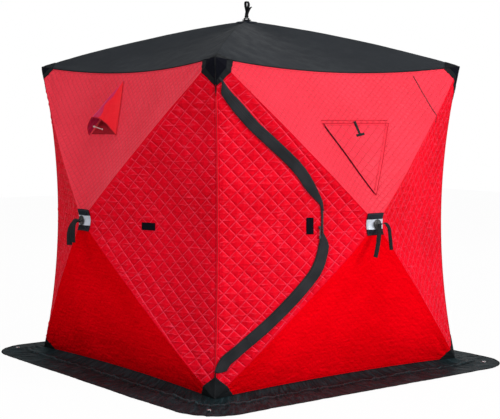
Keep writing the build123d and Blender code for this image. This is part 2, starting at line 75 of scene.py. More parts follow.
NOISE_TABLES = np.random.default_rng(11).random((12, 256, 256))
JOINTS = {joint["name"]: joint for joint in frame["joints"]}


def joint_at(name):
    return JOINTS[name]["pos_m"]


# ---------------------------------------------------------------- driving dimensions
HALF = abs(joint_at("front_panel_left_fold")[0])
Z_TOP = joint_at("front_panel_upper_fold")[2]
Z_BOTTOM = joint_at("front_panel_lower_fold")[2]
Z_HUB = (Z_TOP + Z_BOTTOM) / 2
HALF_HEIGHT = (Z_TOP - Z_BOTTOM) / 2
HUB_CLEARANCE = 0.046            # the cloth stops this far from a hub's centre

SIDES = ("upper", "lower", "left", "right")
LEVEL = ("upper", "lower")       # sides whose outer edge runs along the face's x
OUTWARD = {"upper": 1, "right": 1, "lower": -1, "left": -1}
# How far the middle of an outer edge hangs back: (in the face plane, behind it).
EDGE_SLACK = {"upper": (0.055, 0.050), "lower": (0.008, 0.030),
              "left": (0.067, 0.067), "right": (0.067, 0.067)}
ROOF_SLACK = (0.050, 0.055)
CORNERS = ((-1, -1), (-1, 1), (1, -1), (1, 1))

FACES = {}
for name, x_dir, normal in (("front", (1, 0, 0), (0, -1, 0)), ("left", (0, -1, 0), (-1, 0, 0)),
                            ("right", (0, 1, 0), (1, 0, 0)), ("back", (-1, 0, 0), (0, 1, 0)),
                            ("roof", (1, 0, 0), (0, 0, 1))):
    x_dir, normal = np.array(x_dir, float), np.array(normal, float)
    is_roof = name == "roof"
    FACES[name] = SimpleNamespace(
        name=name, is_roof=is_roof, index=len(FACES), x_dir=x_dir, normal=normal,
        y_dir=np.cross(normal, x_dir),
        centre=np.array([0, 0, Z_TOP]) if is_roof else HALF * normal + [0, 0, Z_HUB],
        half_x=HALF, half_y=HALF if is_roof else HALF_HEIGHT,
        bow=0.025 if is_roof else 0.022,
        push=JOINTS[name + "_hub_push"]["range_m"][1] / 2)
FRONT, LEFT = FACES["front"], FACES["left"]


# ---------------------------------------------------------------- plain maths
def smooth_step(low, high, value):
    t = np.clip((value - low) / (high - low), 0, 1)
    return t * t * (3 - 2 * t)


def value_noise(x, y, table=0):
    """Repeatable smooth noise from -1 to 1."""
    cell_x, cell_y = np.floor(x).astype(int), np.floor(y).astype(int)
    part_x, part_y = x - cell_x, y - cell_y
    part_x, part_y = (part * part * (3 - 2 * part) for part in (part_x, part_y))
    values = NOISE_TABLES[table]

    def row(step):
        near = values[cell_x & 255, (cell_y + step) & 255]
        far = values[(cell_x + 1) & 255, (cell_y + step) & 255]
        return near * (1 - part_x) + far * part_x

    return 2 * (row(0) * (1 - part_y) + row(1) * part_y) - 1


def unit(vectors):
    return vectors / np.maximum(np.linalg.norm(vectors, axis=-1, keepdims=True), 1e-12)


def run_length(run):
    """Distance travelled at each point of a run."""
    return np.concatenate([[0], np.cumsum(np.linalg.norm(np.diff(run, axis=0), axis=1))])


def resample(run, step=0.008):
    run = np.asarray(run, float)
    length = run_length(run)
    stations = np.linspace(0, length[-1], max(3, int(length[-1] / step)))
    return np.stack([np.interp(stations, length, run[:, k]) for k in (0, 1)], 1)


def catmull_rom(points, steps, extend_ends):
    """A smooth curve through points; the end tangents are extended or held short."""
    points = np.asarray(points, float)
    first, last = points[0], points[-1]
    if extend_ends:
        first, last = 2 * first - points[1], 2 * last - points[-2]
    knots = np.vstack([first, points, last])
    curve = []
    for before, start, end, after in zip(knots, knots[1:], knots[2:], knots[3:]):
        for k in range(steps):
            s = k / steps
            curve.append(0.5 * (2 * start + (end - before) * s
                                + (2 * before - 5 * start + 4 * end - after) * s * s
                                + (3 * start - before - 3 * end + after) * s ** 3))
    curve.append(points[-1])
    return np.array(curve)


def distance_to_run(x, y, run):
    nearest = np.full(np.shape(x), 9.0)
    for start, end in zip(run, run[1:]):
        edge = end - start
        s = np.clip(((x - start[0]) * edge[0] + (y - start[1]) * edge[1]) / (edge @ edge), 0, 1)
        gap = np.hypot(x - start[0] - s * edge[0], y - start[1] - s * edge[1])
        nearest = np.minimum(nearest, gap)
    return nearest


def inside_distance(x, y, triangle):
    """Distance in from the edges of a triangle, positive inside."""
    middle = triangle.mean(0)
    nearest = np.full(np.shape(x), 9.0)
    for start, end in zip(triangle, np.roll(triangle, -1, axis=0)):
        edge = end - start
        inner = np.array([-edge[1], edge[0]]) / np.hypot(*edge)
        if (middle - start) @ inner < 0:
            inner = -inner
        nearest = np.minimum(nearest, (x - start[0]) * inner[0] + (y - start[1]) * inner[1])
    return nearest


# ---------------------------------------------------------------- layout of the faces
# The door zip on the front wall, top corner to bottom corner, (x, y).
ZIP_STATIONS = [
    (-0.846, 0.728), (-0.797, 0.664), (-0.706, 0.560), (-0.566, 0.445), (-0.420, 0.305),
    (-0.322, 0.155), (-0.300, 0.085), (-0.296, 0.000), (-0.300, -0.055), (-0.345, -0.195),
    (-0.424, -0.299), (-0.590, -0.461), (-0.746, -0.591), (-0.846, -0.672)]
# The flaps run on past both ends of the zip into the corners.
TOP_TAIL = [(-0.876, 0.772), (-0.862, 0.752)]
FOOT_TAIL = [(-0.868, -0.708), (-0.884, -0.742)]
ZIP = catmull_rom(ZIP_STATIONS, steps=14, extend_ends=False)
ZIP_AND_TAILS = np.vstack([TOP_TAIL, ZIP, FOOT_TAIL])

# Triangles on their faces: top left, top right, foot for the window; top, left, right
# for the vent. A hole is its triangle with each point shifted.
(COVER_X0, _, COVER_Z0), (COVER_X1, _, COVER_Z1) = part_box("window_cover")
WINDOW = np.array([(COVER_X0, COVER_Z1 - Z_HUB), (COVER_X1, COVER_Z1 - Z_HUB),
                   (COVER_X0 + 0.561 * (COVER_X1 - COVER_X0), COVER_Z0 - Z_HUB)])
WINDOW_HOLE = WINDOW + np.array([(0.018, -0.013), (-0.018, -0.013), (-0.001, 0.020)])
HOOD_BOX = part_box("vent_hood")
HOOD_TOP = joint_at("vent_hood_tilt")[2] - Z_HUB
VENT = np.array([(-0.007, HOOD_TOP + 0.055), (-HOOD_BOX[1][1], HOOD_TOP - 0.252),
                 (-HOOD_BOX[0][1], HOOD_TOP - 0.249)])
VENT_HOLE = VENT + np.array([(0.004, -0.070), (0.024, 0.014), (-0.026, 0.014)])
VENT_NET = VENT + np.array([(0.002, -0.060), (0.014, 0.004), (-0.014, 0.004)])
# (triangle, how far inside it a quad's middle must be to be dropped)
HOLES = {("front", "upper"): (WINDOW_HOLE, 0.004), ("left", "upper"): (VENT_HOLE, 0.006)}

# Hook and loop pads: centre, size, and the half size of the unquilted area round them.
DOOR_PAD = SimpleNamespace(x=-0.359, y=0.0, width=0.038, height=0.088, bare=(0.022, 0.048))
WALL_PAD = SimpleNamespace(x=0.426, y=-0.012, width=0.082, height=0.040, bare=(0.046, 0.024))

# Corner patches: reach along the face's x and y.
ROOF_CORNER, TOP_CORNER, FOOT_CORNER = (0.120, 0.120), (0.134, 0.175), (0.128, 0.126)
TOP_CORNER_CAP = (0.082, 0.140)

QUILT_WIDTH, QUILT_HEIGHT = 0.0705, 0.0755       # one full diamond
SMALL_CELL, FULL_CELL = (0.62, 0.44), (1.0, 1.0)   # share of a full diamond, across and up
QUILT_CELL = {"upper": SMALL_CELL, "lower": SMALL_CELL, "left": FULL_CELL, "right": FULL_CELL}
QUILT_PUFF = {"upper": 0.0012, "lower": 0.0012, "left": 0.0070, "right": 0.0070}


def zip_x(y):
    return np.interp(-y, -ZIP[:, 1], ZIP[:, 0])


# ---------------------------------------------------------------- the cloth surface
def to_world(face, x, y, z):
    x, y, z = (np.asarray(value, float)[..., None] for value in (x, y, z))
    return face.centre + x * face.x_dir + y * face.y_dir + z * face.normal


def edge_slack(face, side):
    return ROOF_SLACK if face.is_roof else EDGE_SLACK[side]


def half_spans(face, side):
    """Half the face's size along the side's outer edge, and square to it."""
    return (face.half_x, face.half_y) if side in LEVEL else (face.half_y, face.half_x)


def edge_to_face(face, side, along, inward):
    """(along the edge -1..1, inward from edge 0 to hub 1) to face x and y."""
    half_along, half_out = half_spans(face, side)
    slack = edge_slack(face, side)[0]
    run = half_along * along * (1 - inward)
    rise = OUTWARD[side] * (half_out - slack * (1 - along * along)) * (1 - inward)
    return (run, rise) if side in LEVEL else (rise, run)


def face_to_edge(face, side, x, y):
    """The inverse of edge_to_face, by iteration."""
    half_along, half_out = half_spans(face, side)
    slack = edge_slack(face, side)[0]
    run, rise = (x, y) if side in LEVEL else (y, x)
    along = np.zeros_like(x)
    for _ in range(24):
        inward = 1 - np.abs(rise) / (half_out - slack * (1 - along * along))
        along = np.clip(run / (half_along * np.maximum(1 - inward, 1e-4)), -1.25, 1.25)
    return along, inward


def seam_distances(face, side, along, inward):
    """Distance to the nearest pole ridge and to the outer edge, over the cloth."""
    half_along, half_out = half_spans(face, side)
    slope = math.hypot(half_out, face.push)
    cosine = slope / math.hypot(slope, half_along)
    return half_along * (1 - np.abs(along)) * (1 - inward) * cosine, inward * slope


def loose_cloth(face, x, y, radius, to_ridge, free):
    """Broad unevenness, and drag folds running out of the corners and the hub."""
    index = face.index
    calm = 0.45 if face.is_roof else 1.0
    broad = calm * (0.0026 * value_noise(x / 0.23 + 7 * index, y / 0.19 + 3, index)
                    + 0.0011 * value_noise(x / 0.085 + 3 * index, y / 0.07, 5 + index))
    folds = 0.0
    for sx, sy in CORNERS:
        from_x, from_y = x - sx * face.half_x, y - sy * face.half_y
        reach = np.hypot(from_x, from_y)
        angle = np.arctan2(np.abs(from_y), np.abs(from_x))
        phase = 2.1 * sx + 1.3 * sy + index + 3 * value_noise(reach / 0.12, angle * 2, 3)
        fade = np.exp(-((reach - 0.16) / 0.16) ** 2)
        folds = folds + fade * np.sin(angle * 17 + phase) * 0.0024
    angle = np.arctan2(y, x)
    phase = index + 3.4 * value_noise(angle * 1.9 + 9, radius / 0.11, 8)
    patchy = 0.5 + 0.5 * value_noise(angle * 2.3 + 5, radius / 0.2, 10)
    fade = np.exp(-((radius - 0.13) / 0.08) ** 2)
    folds = folds + fade * np.sin(angle * 13 + phase) * 0.0011 * patchy
    return (broad + folds * (0.35 + 0.65 * smooth_step(0.0, 0.03, to_ridge))) * free


def off_pad(pad, x, y):
    gap = np.maximum(np.abs(x - pad.x) - pad.bare[0], np.abs(y - pad.y) - pad.bare[1])
    return smooth_step(0.0, 0.012, gap)


def quilt_mask(face, side, x, y, radius, to_ridge, to_edge):
    """1 where a wall is quilted, 0 where it is stitched flat."""
    mask = (smooth_step(0.004, 0.022, to_ridge) * smooth_step(0.006, 0.03, to_edge)
            * smooth_step(0.062, 0.10, radius))
    # flat under the corner patches
    in_x, in_y = face.half_x - np.abs(x), face.half_y - np.abs(y)
    past_corner = np.where(y > 0, in_x / 0.110 + in_y / TOP_CORNER[1],
                           in_x / FOOT_CORNER[0] + in_y / FOOT_CORNER[1])
    mask = mask * smooth_step(1.0, 1.16, past_corner)
    place = (face.name, side)
    if place == ("front", "left"):
        mask = mask * smooth_step(0.012, 0.03, distance_to_run(x, y, ZIP))
        flap_side = np.where(y > 0.05, x < zip_x(y), x > zip_x(y)) & (np.abs(y) > 0.025)
        under_flap = flap_side | (np.abs(y) > 0.60)
        clear = smooth_step(0.050, 0.068, distance_to_run(x, y, ZIP_AND_TAILS))
        mask = mask * np.where(under_flap, clear, 1.0) * off_pad(DOOR_PAD, x, y)
    if place == ("left", "right"):
        mask = mask * off_pad(WALL_PAD, x, y)
    if place == ("front", "upper"):
        mask = mask * (1 - smooth_step(-0.02, 0.0, inside_distance(x, y, WINDOW)))
    if place == ("left", "upper"):
        mask = mask * (1 - smooth_step(-0.02, 0.0, inside_distance(x, y, VENT)))
    return mask


def quilting(side, x, y):
    """Height of the puffed diamonds and the crinkles their stitching draws."""
    cell = QUILT_CELL[side]
    across, up = x / (QUILT_WIDTH * cell[0]), y / (QUILT_HEIGHT * cell[1])
    rising, falling = across + up, across - up
    row, column = np.floor(rising), np.floor(falling)
    puff = 1 - np.maximum(np.abs(2 * (rising - row) - 1), np.abs(2 * (falling - column) - 1))
    puff = np.clip(puff, 0, 1) ** 0.78
    uneven = 1 + 0.35 * value_noise(row * 1.7 + 0.3, column * 1.3 + 0.6, 2)
    crinkle = 0.0015 * value_noise(x / 0.036, y / 0.010, 9) * np.minimum(1, 0.35 + puff)
    height = QUILT_PUFF[side] * (puff * uneven + crinkle / 0.0056)
    if side == "lower":
        height = height + 0.0011 * value_noise(x / 0.050, y / 0.0085, 7)
        height = height + 0.0007 * value_noise(x / 0.022, y / 0.0060, 11)
    if side not in LEVEL:
        # level creases through the middle of some diamonds
        level = 2 * y / QUILT_HEIGHT
        crease = (np.exp(-((level - np.round(level)) / 0.085) ** 2)
                  * np.maximum(0, value_noise(row * 2.3 + 0.5, column * 1.9 + 0.5, 1) + 0.55))
        height = height + 0.0011 * crease * np.minimum(1, 2.2 * puff)
    return height


def lift(face, side, x, y, along, inward, quilted):
    """How far the cloth stands off its stretched surface, along the face normal."""
    to_ridge, to_edge = seam_distances(face, side, along, inward)
    to_ridge, to_edge = np.abs(to_ridge), np.maximum(to_edge, 0)
    radius = np.hypot(x, y)
    free = smooth_step(0.0, 0.05, to_edge) * smooth_step(0.045, 0.09, radius)
    height = loose_cloth(face, x, y, radius, to_ridge, free)
    if not quilted:
        return height
    if not face.is_roof:
        mask = quilt_mask(face, side, x, y, radius, to_ridge, to_edge)
        height = height + mask * quilting(side, x, y)
    # the pole sleeve: a low tube along the ridge
    height = height + (0.0013 * np.exp(-(to_ridge / 0.010) ** 2)
                       * smooth_step(0.03, 0.10, to_edge) * smooth_step(0.05, 0.1, radius))
    if side in LEVEL and not face.is_roof:
        height = height - 0.0008 * np.exp(-((to_ridge - 0.040) / 0.006) ** 2) * free
    return height


def cloth_point(face, side, x, y, stand_off=0.0, quilted=True):
    x, y = np.asarray(x, float), np.asarray(y, float)
    along, inward = face_to_edge(face, side, x, y)
    square = along * along
    z = (-edge_slack(face, side)[1] * (1 - square) * (1 - inward) + face.push * inward
         + face.bow * 4 * inward * (1 - inward) * np.clip(square, 0, 1.2))
    z = z + lift(face, side, x, y, along, inward, quilted) + stand_off
    return to_world(face, x, y, z)


def on_face(face, x, y, stand_off=0.0, side=None):
    """Points over the unquilted cloth; without a side, each point finds its own."""
    if side is not None:
        return cloth_point(face, side, x, y, stand_off, quilted=False)
    stand_off = np.broadcast_to(stand_off, x.shape)
    level = np.abs(y / face.half_y) >= np.abs(x / face.half_x)
    choice = np.where(level, np.where(y > 0, 0, 1), np.where(x < 0, 2, 3))
    points = np.zeros(x.shape + (3,))
    for k, name in enumerate(SIDES):
        here = choice == k
        if here.any():
            points[here] = cloth_point(face, name, x[here], y[here], stand_off[here], False)
    return points


def cloth_normals(face, side, x, y):
    step = 0.0012
    across = cloth_point(face, side, x + step, y) - cloth_point(face, side, x - step, y)
    up = cloth_point(face, side, x, y + step) - cloth_point(face, side, x, y - step)
    return unit(np.cross(across, up))


# ---------------------------------------------------------------- mesh helpers
def recalc_normals(ob, face_up=False):
    mesh = bmesh.new()
    mesh.from_mesh(ob.data)
    bmesh.ops.recalc_face_normals(mesh, faces=mesh.faces)
    if face_up and sum(polygon.normal.z for polygon in mesh.faces) < 0:
        bmesh.ops.reverse_faces(mesh, faces=mesh.faces)
    mesh.to_mesh(ob.data)
    mesh.free()


def new_object(name, verts, faces, material, uv=None, seam=None, normals=None,
               smooth=True, recalc=False):
    """A linked mesh object. The maps are "q", the flat layout, and "seam", the distances
    to the ridge and the edge, which keep seam stitching away when left at 0.3."""
    mesh = bpy.data.meshes.new(name)
    points = [tuple(vert) for vert in np.asarray(verts, float).reshape(-1, 3)]
    mesh.from_pydata(points, [], [tuple(int(i) for i in face) for face in faces])
    if smooth:
        mesh.polygons.foreach_set("use_smooth", [True] * len(mesh.polygons))
    if uv is not None:
        corners = np.zeros(len(mesh.loops), int)
        mesh.loops.foreach_get("vertex_index", corners)
        if seam is None:
            seam = np.full((len(points), 2), 0.3)
        for layer_name, values in (("q", uv), ("seam", seam)):
            layer = mesh.uv_layers.new(name=layer_name)
            values = np.asarray(values, float).reshape(-1, 2)
            layer.data.foreach_set("uv", values[corners].ravel())
    mesh.update()
    if normals is not None:
        mesh.normals_split_custom_set_from_vertices([tuple(vector) for vector in normals])
    ob = bpy.data.objects.new(name, mesh)
    bpy.context.scene.collection.objects.link(ob)
    mesh.materials.append(material)
    if recalc:
        recalc_normals(ob)
    return ob


def attach(ob, body):
    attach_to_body(ob, body)


def thicken(ob, thickness):
    modifier = ob.modifiers.new("thick", "SOLIDIFY")
    modifier.thickness = thickness
    modifier.offset = -1


def grid_faces(rows, columns, close_rows=False, close_columns=False):
    index = np.arange(rows * columns).reshape(rows, columns)
    if close_columns:
        index = np.hstack([index, index[:, :1]])
    if close_rows:
        index = np.vstack([index, index[:1]])
    quad = [index[:-1, :-1], index[:-1, 1:], index[1:, 1:], index[1:, :-1]]
    return np.stack(quad, -1).reshape(-1, 4)


def quad_crosses(verts, quads):
    verts = np.asarray(verts).reshape(-1, 3)
    return np.cross(verts[quads[:, 2]] - verts[quads[:, 0]],
                    verts[quads[:, 3]] - verts[quads[:, 1]])


def facing(verts, quads, direction, tested=None):
    """Wind the quads to look along direction, judged by the first `tested` of them."""
    total = (quad_crosses(verts, quads[:tested]) @ direction).sum()
    return quads[:, ::-1] if total < 0 else quads


def drop_flat(verts, quads):
    """Leave out the zero-size quads at the corners."""
    return quads[np.linalg.norm(quad_crosses(verts, quads), axis=1) > 1e-9]


def band_caps(loop):
    """Quads that close one end of a flat band, from its ring of vertices."""
    last = len(loop) - 1
    return [[loop[k], loop[k + 1], loop[last - 1 - k], loop[last - k]]
            for k in range(len(loop) // 2 - 1)]


# ---------------------------------------------------------------- materials
def tint(colour, gain, offset=0.0):
    return tuple(min(1.0, part * gain + offset) for part in colour)


class Graph:
    """A Principled material, with short calls that add nodes and return their outputs."""

    def __init__(self, name):
        self.material = bpy.data.materials.new(name)
        self.material.use_nodes = True
        self.tree = self.material.node_tree
        self.shader = self.tree.nodes["Principled BSDF"]

    def node(self, kind, **settings):
        node = self.tree.nodes.new(kind)
        for key, value in settings.items():
            setattr(node, key, value)
        return node

    def plug(self, socket, value):
        if isinstance(value, bpy.types.NodeSocket):
            self.tree.links.new(value, socket)
        elif isinstance(value, tuple) and len(value) == 3:
            socket.default_value = (*value, 1.0)
        else:
            socket.default_value = value

    def math(self, operation, *values):
        node = self.node("ShaderNodeMath", operation=operation)
        for socket, value in zip(node.inputs, values):
            self.plug(socket, value)
        return node.outputs[0]

    def add(self, first, second):
        return self.math("ADD", first, second)

    def sub(self, first, second):
        return self.math("SUBTRACT", first, second)

    def mul(self, first, second):
        return self.math("MULTIPLY", first, second)

    def absolute(self, value):
        return self.math("ABSOLUTE", value)

    def wave(self, value, rate):
        return self.math("SINE", self.mul(value, rate))

    def highest(self, *values):
        top = values[0]
        for value in values[1:]:
            top = self.math("MAXIMUM", top, value)
        return top

    def signed_fraction(self, value):
        """Distance from the nearest whole number, -0.5 to 0.5."""
        return self.sub(self.math("FRACT", self.add(value, 0.5)), 0.5)

    def ramp(self, value, low, high, start=0.0, end=1.0):
        """Smooth change from start to end while value goes from low to high."""
        node = self.node("ShaderNodeMapRange", interpolation_type="SMOOTHSTEP")
        for key, setting in (("Value", value), ("From Min", low), ("From Max", high),
                             ("To Min", start), ("To Max", end)):
            self.plug(node.inputs[key], setting)
        return node.outputs[0]

    def line(self, value, place, core, rim, peak=1.0):
        """A line where value equals place: full out to core, gone at rim."""
        return self.ramp(self.absolute(self.sub(value, place)), core, rim, peak, 0.0)

    def noise(self, scale, detail=3.0, roughness=0.5, distortion=0.0, vector=None):
        node = self.node("ShaderNodeTexNoise")
        for key, setting in (("Vector", vector or self.position()), ("Scale", scale),
                             ("Detail", detail), ("Roughness", roughness),
                             ("Distortion", distortion)):
            self.plug(node.inputs[key], setting)
        return node.outputs["Fac"]

    def cells(self, scale):
        node = self.node("ShaderNodeTexVoronoi")
        self.plug(node.inputs["Vector"], self.position())
        node.inputs["Scale"].default_value = scale
        return node.outputs["Distance"]

    def mix(self, factor, first, second):
        node = self.node("ShaderNodeMix", data_type="RGBA")
        self.plug(node.inputs["Factor"], factor)
        self.plug(node.inputs[6], first)
        self.plug(node.inputs[7], second)
        return node.outputs[2]

    def position(self):
        return self.node("ShaderNodeTexCoord").outputs["Object"]

    def split(self, vector):
        node = self.node("ShaderNodeSeparateXYZ")
        self.plug(node.inputs[0], vector)
        return node.outputs

    def uv(self, name):
        axes = self.split(self.node("ShaderNodeUVMap", uv_map=name).outputs["UV"])
        return axes["X"], axes["Y"]

    def stretched(self, x, y, x_rate, y_rate):
        node = self.node("ShaderNodeCombineXYZ")
        self.plug(node.inputs[0], self.mul(x, x_rate))
        self.plug(node.inputs[1], self.mul(y, y_rate))
        return node.outputs[0]

    def bump(self, height, distance, strength):
        node = self.node("ShaderNodeBump")
        node.inputs["Distance"].default_value = distance
        node.inputs["Strength"].default_value = strength
        self.plug(node.inputs["Height"], height)
        return node.outputs[0]

    def finish(self, colour, roughness, normal=None, **settings):
        self.plug(self.shader.inputs["Base Color"], colour)
        self.plug(self.shader.inputs["Roughness"], roughness)
        if normal is not None:
            self.plug(self.shader.inputs["Normal"], normal)
        for key, value in settings.items():
            self.plug(self.shader.inputs[key.replace("_", " ")], value)
        return self.material


def quilt_shading(mat, x, y, cell, to_ridge, to_edge, stitch_and_groove_shade, crease_shade, highlight):
    """Stitched diamonds: valley, stitch line, painted shade and painted highlight factors."""
    width, height = QUILT_WIDTH * cell[0], QUILT_HEIGHT * cell[1]
    rising = mat.add(mat.math("DIVIDE", x, width), mat.math("DIVIDE", y, height))
    falling = mat.sub(mat.math("DIVIDE", x, width), mat.math("DIVIDE", y, height))
    mask = mat.mul(mat.ramp(to_ridge, 0.002, 0.012), mat.ramp(to_edge, 0.003, 0.014))
    # noise that makes the stitch lines, their painted shade and their painted highlight patchy
    patchy_strength = mat.ramp(mat.noise(34.0, 3, 0.6), 0.34, 0.60, 0.35, 1.0)
    line_width = 0.050 / min(max(cell[1], 0.55), 1.0)
    lines, valleys, glints = [], [], []
    for across, lengthwise, sign in ((rising, falling, -1), (falling, rising, 1)):
        offset = mat.signed_fraction(across)
        distance = mat.absolute(offset)
        dashes = mat.ramp(mat.wave(lengthwise, 95.0), -0.4, 0.4, 0.6, 1.0)
        lines.append(mat.mul(mat.ramp(distance, 0.0, line_width, 1.0, 0.0), dashes))
        valleys.append(mat.ramp(distance, 0.0, 0.17, 1.0, 0.0))
        # painted highlight just beside each stitch line
        if highlight:
            glints.append(mat.line(offset, 0.055 * sign, 0.010, 0.062))
    line = mat.mul(mat.mul(mat.highest(*lines), mask), patchy_strength)
    valley = mat.mul(mat.highest(*valleys), mask)

    # broken, wandering level creases: lit above, shaded below
    wander = mat.mul(mat.sub(mat.noise(24.0, 3), 0.5), 0.75)
    crease = mat.add(mat.signed_fraction(mat.mul(y, 2.0 / height)), wander)
    broken = mat.ramp(mat.noise(15.0, 3, 0.6), 0.44, 0.64)
    shaded = mat.mul(mat.ramp(crease, -0.30, -0.04), mat.ramp(crease, -0.02, 0.03, 1.0, 0.0))
    shaded = mat.mul(mat.mul(mat.mul(shaded, broken), mask), crease_shade)
    # the stitch lines and their valleys darkened, partly stitching and partly painted shade, with the painted
    # shade under the creases
    dark = mat.highest(mat.mul(line, stitch_and_groove_shade),
                       mat.highest(mat.mul(valley, stitch_and_groove_shade * 0.55), shaded))
    # painted highlight: beside the stitch lines and on the lit tops of the creases
    painted_highlight = None
    if highlight:
        lit = mat.mul(mat.mul(mat.line(crease, 0.060, 0.01, 0.085), broken), 0.75)
        painted_highlight = mat.mul(mat.mul(mat.highest(*glints, lit), mask), mat.mul(patchy_strength, highlight))
    return valley, line, dark, painted_highlight


def cloth_material(name, base, deep, cell=None, roughness=0.5, specular=0.2, sheen=0.0,
                   sheen_tint=(1, 0.8, 0.85), lining=(0.03, 0.03, 0.032), light=None,
                   crinkle=1.0, groove=1.5, stitch_and_groove_shade=0.5, crease_shade=0.0, seam_dark=0.5,
                   highlight=0.0):
    """Shell cloth. base and deep are its two reds or greys, light the colour of the painted
    highlights on its raised crinkles and quilting, and lining its inner face; cell is the
    diamond size, None for unquilted cloth; groove is the quilting's depth; the stitch-line
    value is how dark the stitch lines read, with painted shade in their grooves, the crease
    value how dark the painted shade under the level creases is, seam_dark how dark the
    seam stitching reads, and highlight how strong the painted highlights on the quilting are."""
    mat = Graph(name)
    x, y = mat.uv("q")
    to_ridge, to_edge = mat.uv("seam")
    light = light or tint(base, 1.15, 0.02)
    colour = mat.mix(mat.ramp(mat.noise(3.2, 4), 0.3, 0.7), base, deep)
    # level crinkles drawn by the stitching, coarse and fine, then the plain weave
    coarse = mat.noise(1.0, 4, 0.6, 0.7, mat.stretched(x, y, 17.0, 66.0))
    fine = mat.noise(1.0, 3, 0.6, 0.4, mat.stretched(x, y, 60.0, 130.0))
    height = mat.add(mat.mul(coarse, 1.5 * crinkle), mat.mul(fine, 0.55 * crinkle))
    weave = mat.mul(mat.wave(x, 3900.0), mat.wave(y, 3900.0))
    height = mat.add(height, mat.mul(weave, 0.045))
    if cell:
        valley, line, quilt_painted_shade, painted_highlight = quilt_shading(
            mat, x, y, cell, to_ridge, to_edge, stitch_and_groove_shade, crease_shade, highlight)
        height = mat.sub(height, mat.mul(valley, groove))
        height = mat.sub(height, mat.mul(line, 0.6 * groove))
    # the pole sleeve's twin needle line, and a hem line inside each edge
    twin = mat.highest(*(mat.line(to_ridge, place, 0.0, 0.0022) for place in (0.0385, 0.0430)))
    stitches = mat.highest(mat.mul(twin, seam_dark), mat.line(to_edge, 0.011, 0.0, 0.0022))
    height = mat.sub(height, mat.mul(stitches, 1.0))
    # the ridge itself is a turned seam
    ridge = mat.ramp(to_ridge, 0.0006, 0.0042, 0.45 * max(seam_dark, 0.4), 0.0)
    dark = mat.highest(mat.mul(stitches, 0.5), ridge)
    if cell:
        dark = mat.highest(quilt_painted_shade, dark)
    # painted highlight on the tops of the coarse crinkles, then on the quilting
    colour = mat.mix(mat.ramp(coarse, 0.55, 0.80, 0.0, 0.30 * crinkle), colour, light)
    if cell and highlight:
        colour = mat.mix(painted_highlight, colour, light)
    # darkening from the seam stitching and ridge, and the quilting's painted shade
    colour = mat.mix(dark, colour, tint(deep, 0.30))
    inside = mat.node("ShaderNodeNewGeometry").outputs["Backfacing"]
    colour = mat.mix(inside, colour, lining)
    rough = mat.ramp(mat.noise(14.0, 3), 0.3, 0.7, roughness - 0.06, roughness + 0.08)
    return mat.finish(colour, rough, mat.bump(height, 0.0012, 0.9),
                      Specular_IOR_Level=specular, Sheen_Weight=sheen, Sheen_Roughness=0.4,
                      Sheen_Tint=sheen_tint)


def plain_cloth(name, base, roughness=0.7, sheen=0.15, specular=0.3, lighter=None):
    mat = Graph(name)
    lighter = lighter or tint(base, 1.35, 0.006)
    colour = mat.mix(mat.ramp(mat.noise(9.0, 4), 0.35, 0.7), base, lighter)
    wrinkles = mat.mul(mat.noise(42.0, 4, 0.6, 0.8), 1.0)
    axes = mat.split(mat.position())
    warp = mat.wave(mat.add(axes[0], axes[1]), 3200.0)
    weft = mat.wave(mat.add(axes[2], mat.mul(axes[0], 0.5)), 3200.0)
    height = mat.add(wrinkles, mat.mul(mat.mul(warp, weft), 0.06))
    rough = mat.ramp(mat.noise(25.0, 3), 0.3, 0.7, roughness - 0.07, roughness + 0.09)
    return mat.finish(colour, rough, mat.bump(height, 0.001, 0.8),
                      Specular_IOR_Level=specular, Sheen_Weight=sheen, Sheen_Roughness=0.4)


def skirt_material():
    mat = Graph("cloth_skirt")
    around, out = mat.uv("q")          # out: 0 at the wall's hem, 1 at the outer edge
    gathers = mat.noise(1.0, 4, 0.62, 0.9, mat.stretched(around, out, 78.0, 3.2))
    wrinkles = mat.noise(48.0, 4, 0.6, 0.7)
    height = mat.add(mat.mul(gathers, 3.6), mat.mul(wrinkles, 1.1))
    stitches = mat.highest(*(mat.line(out, place, 0.0, 0.010) for place in (0.955, 0.30)))
    height = mat.sub(height, stitches)
    # the raised gathers lighter than the hollows: painted light on the folds
    colour = mat.mix(mat.ramp(gathers, 0.40, 0.72),
                     (0.0052, 0.0122, 0.0148), (0.0180, 0.0370, 0.0430))
    colour = mat.mix(mat.mul(stitches, 0.6), colour, (0.004, 0.005, 0.006))
    # painted highlight on the top of the fold it keeps, and painted shade beyond it
    colour = mat.mix(mat.line(out, 0.372, 0.004, 0.022, peak=0.55), colour,
                     (0.040, 0.066, 0.074))
    colour = mat.mix(mat.line(out, 0.425, 0.008, 0.045, peak=0.60), colour,
                     (0.0022, 0.0042, 0.0052))
    return mat.finish(colour, mat.ramp(wrinkles, 0.3, 0.7, 0.50, 0.64),
                      mat.bump(height, 0.0013, 0.95), Specular_IOR_Level=0.14, Sheen_Weight=0.0)


def webbing_material():
    mat = Graph("webbing_black")
    base = (0.0050, 0.0054, 0.0068)
    across, length = mat.uv("q")
    rib = mat.wave(across, 2600.0)
    chevron = mat.math("SINE", mat.add(mat.mul(length, 1500.0),
                                       mat.mul(mat.absolute(rib), 2.2)))
    height = mat.add(mat.mul(rib, 0.25), mat.mul(chevron, 0.4))
    colour = mat.mix(mat.ramp(chevron, -0.6, 0.8), base, tint(base, 1.7, 0.006))
    return mat.finish(colour, mat.ramp(mat.noise(90.0, 2), 0.3, 0.7, 0.6, 0.8),
                      mat.bump(height, 0.0007, 0.8), Specular_IOR_Level=0.15,
                      Sheen_Weight=0.03)


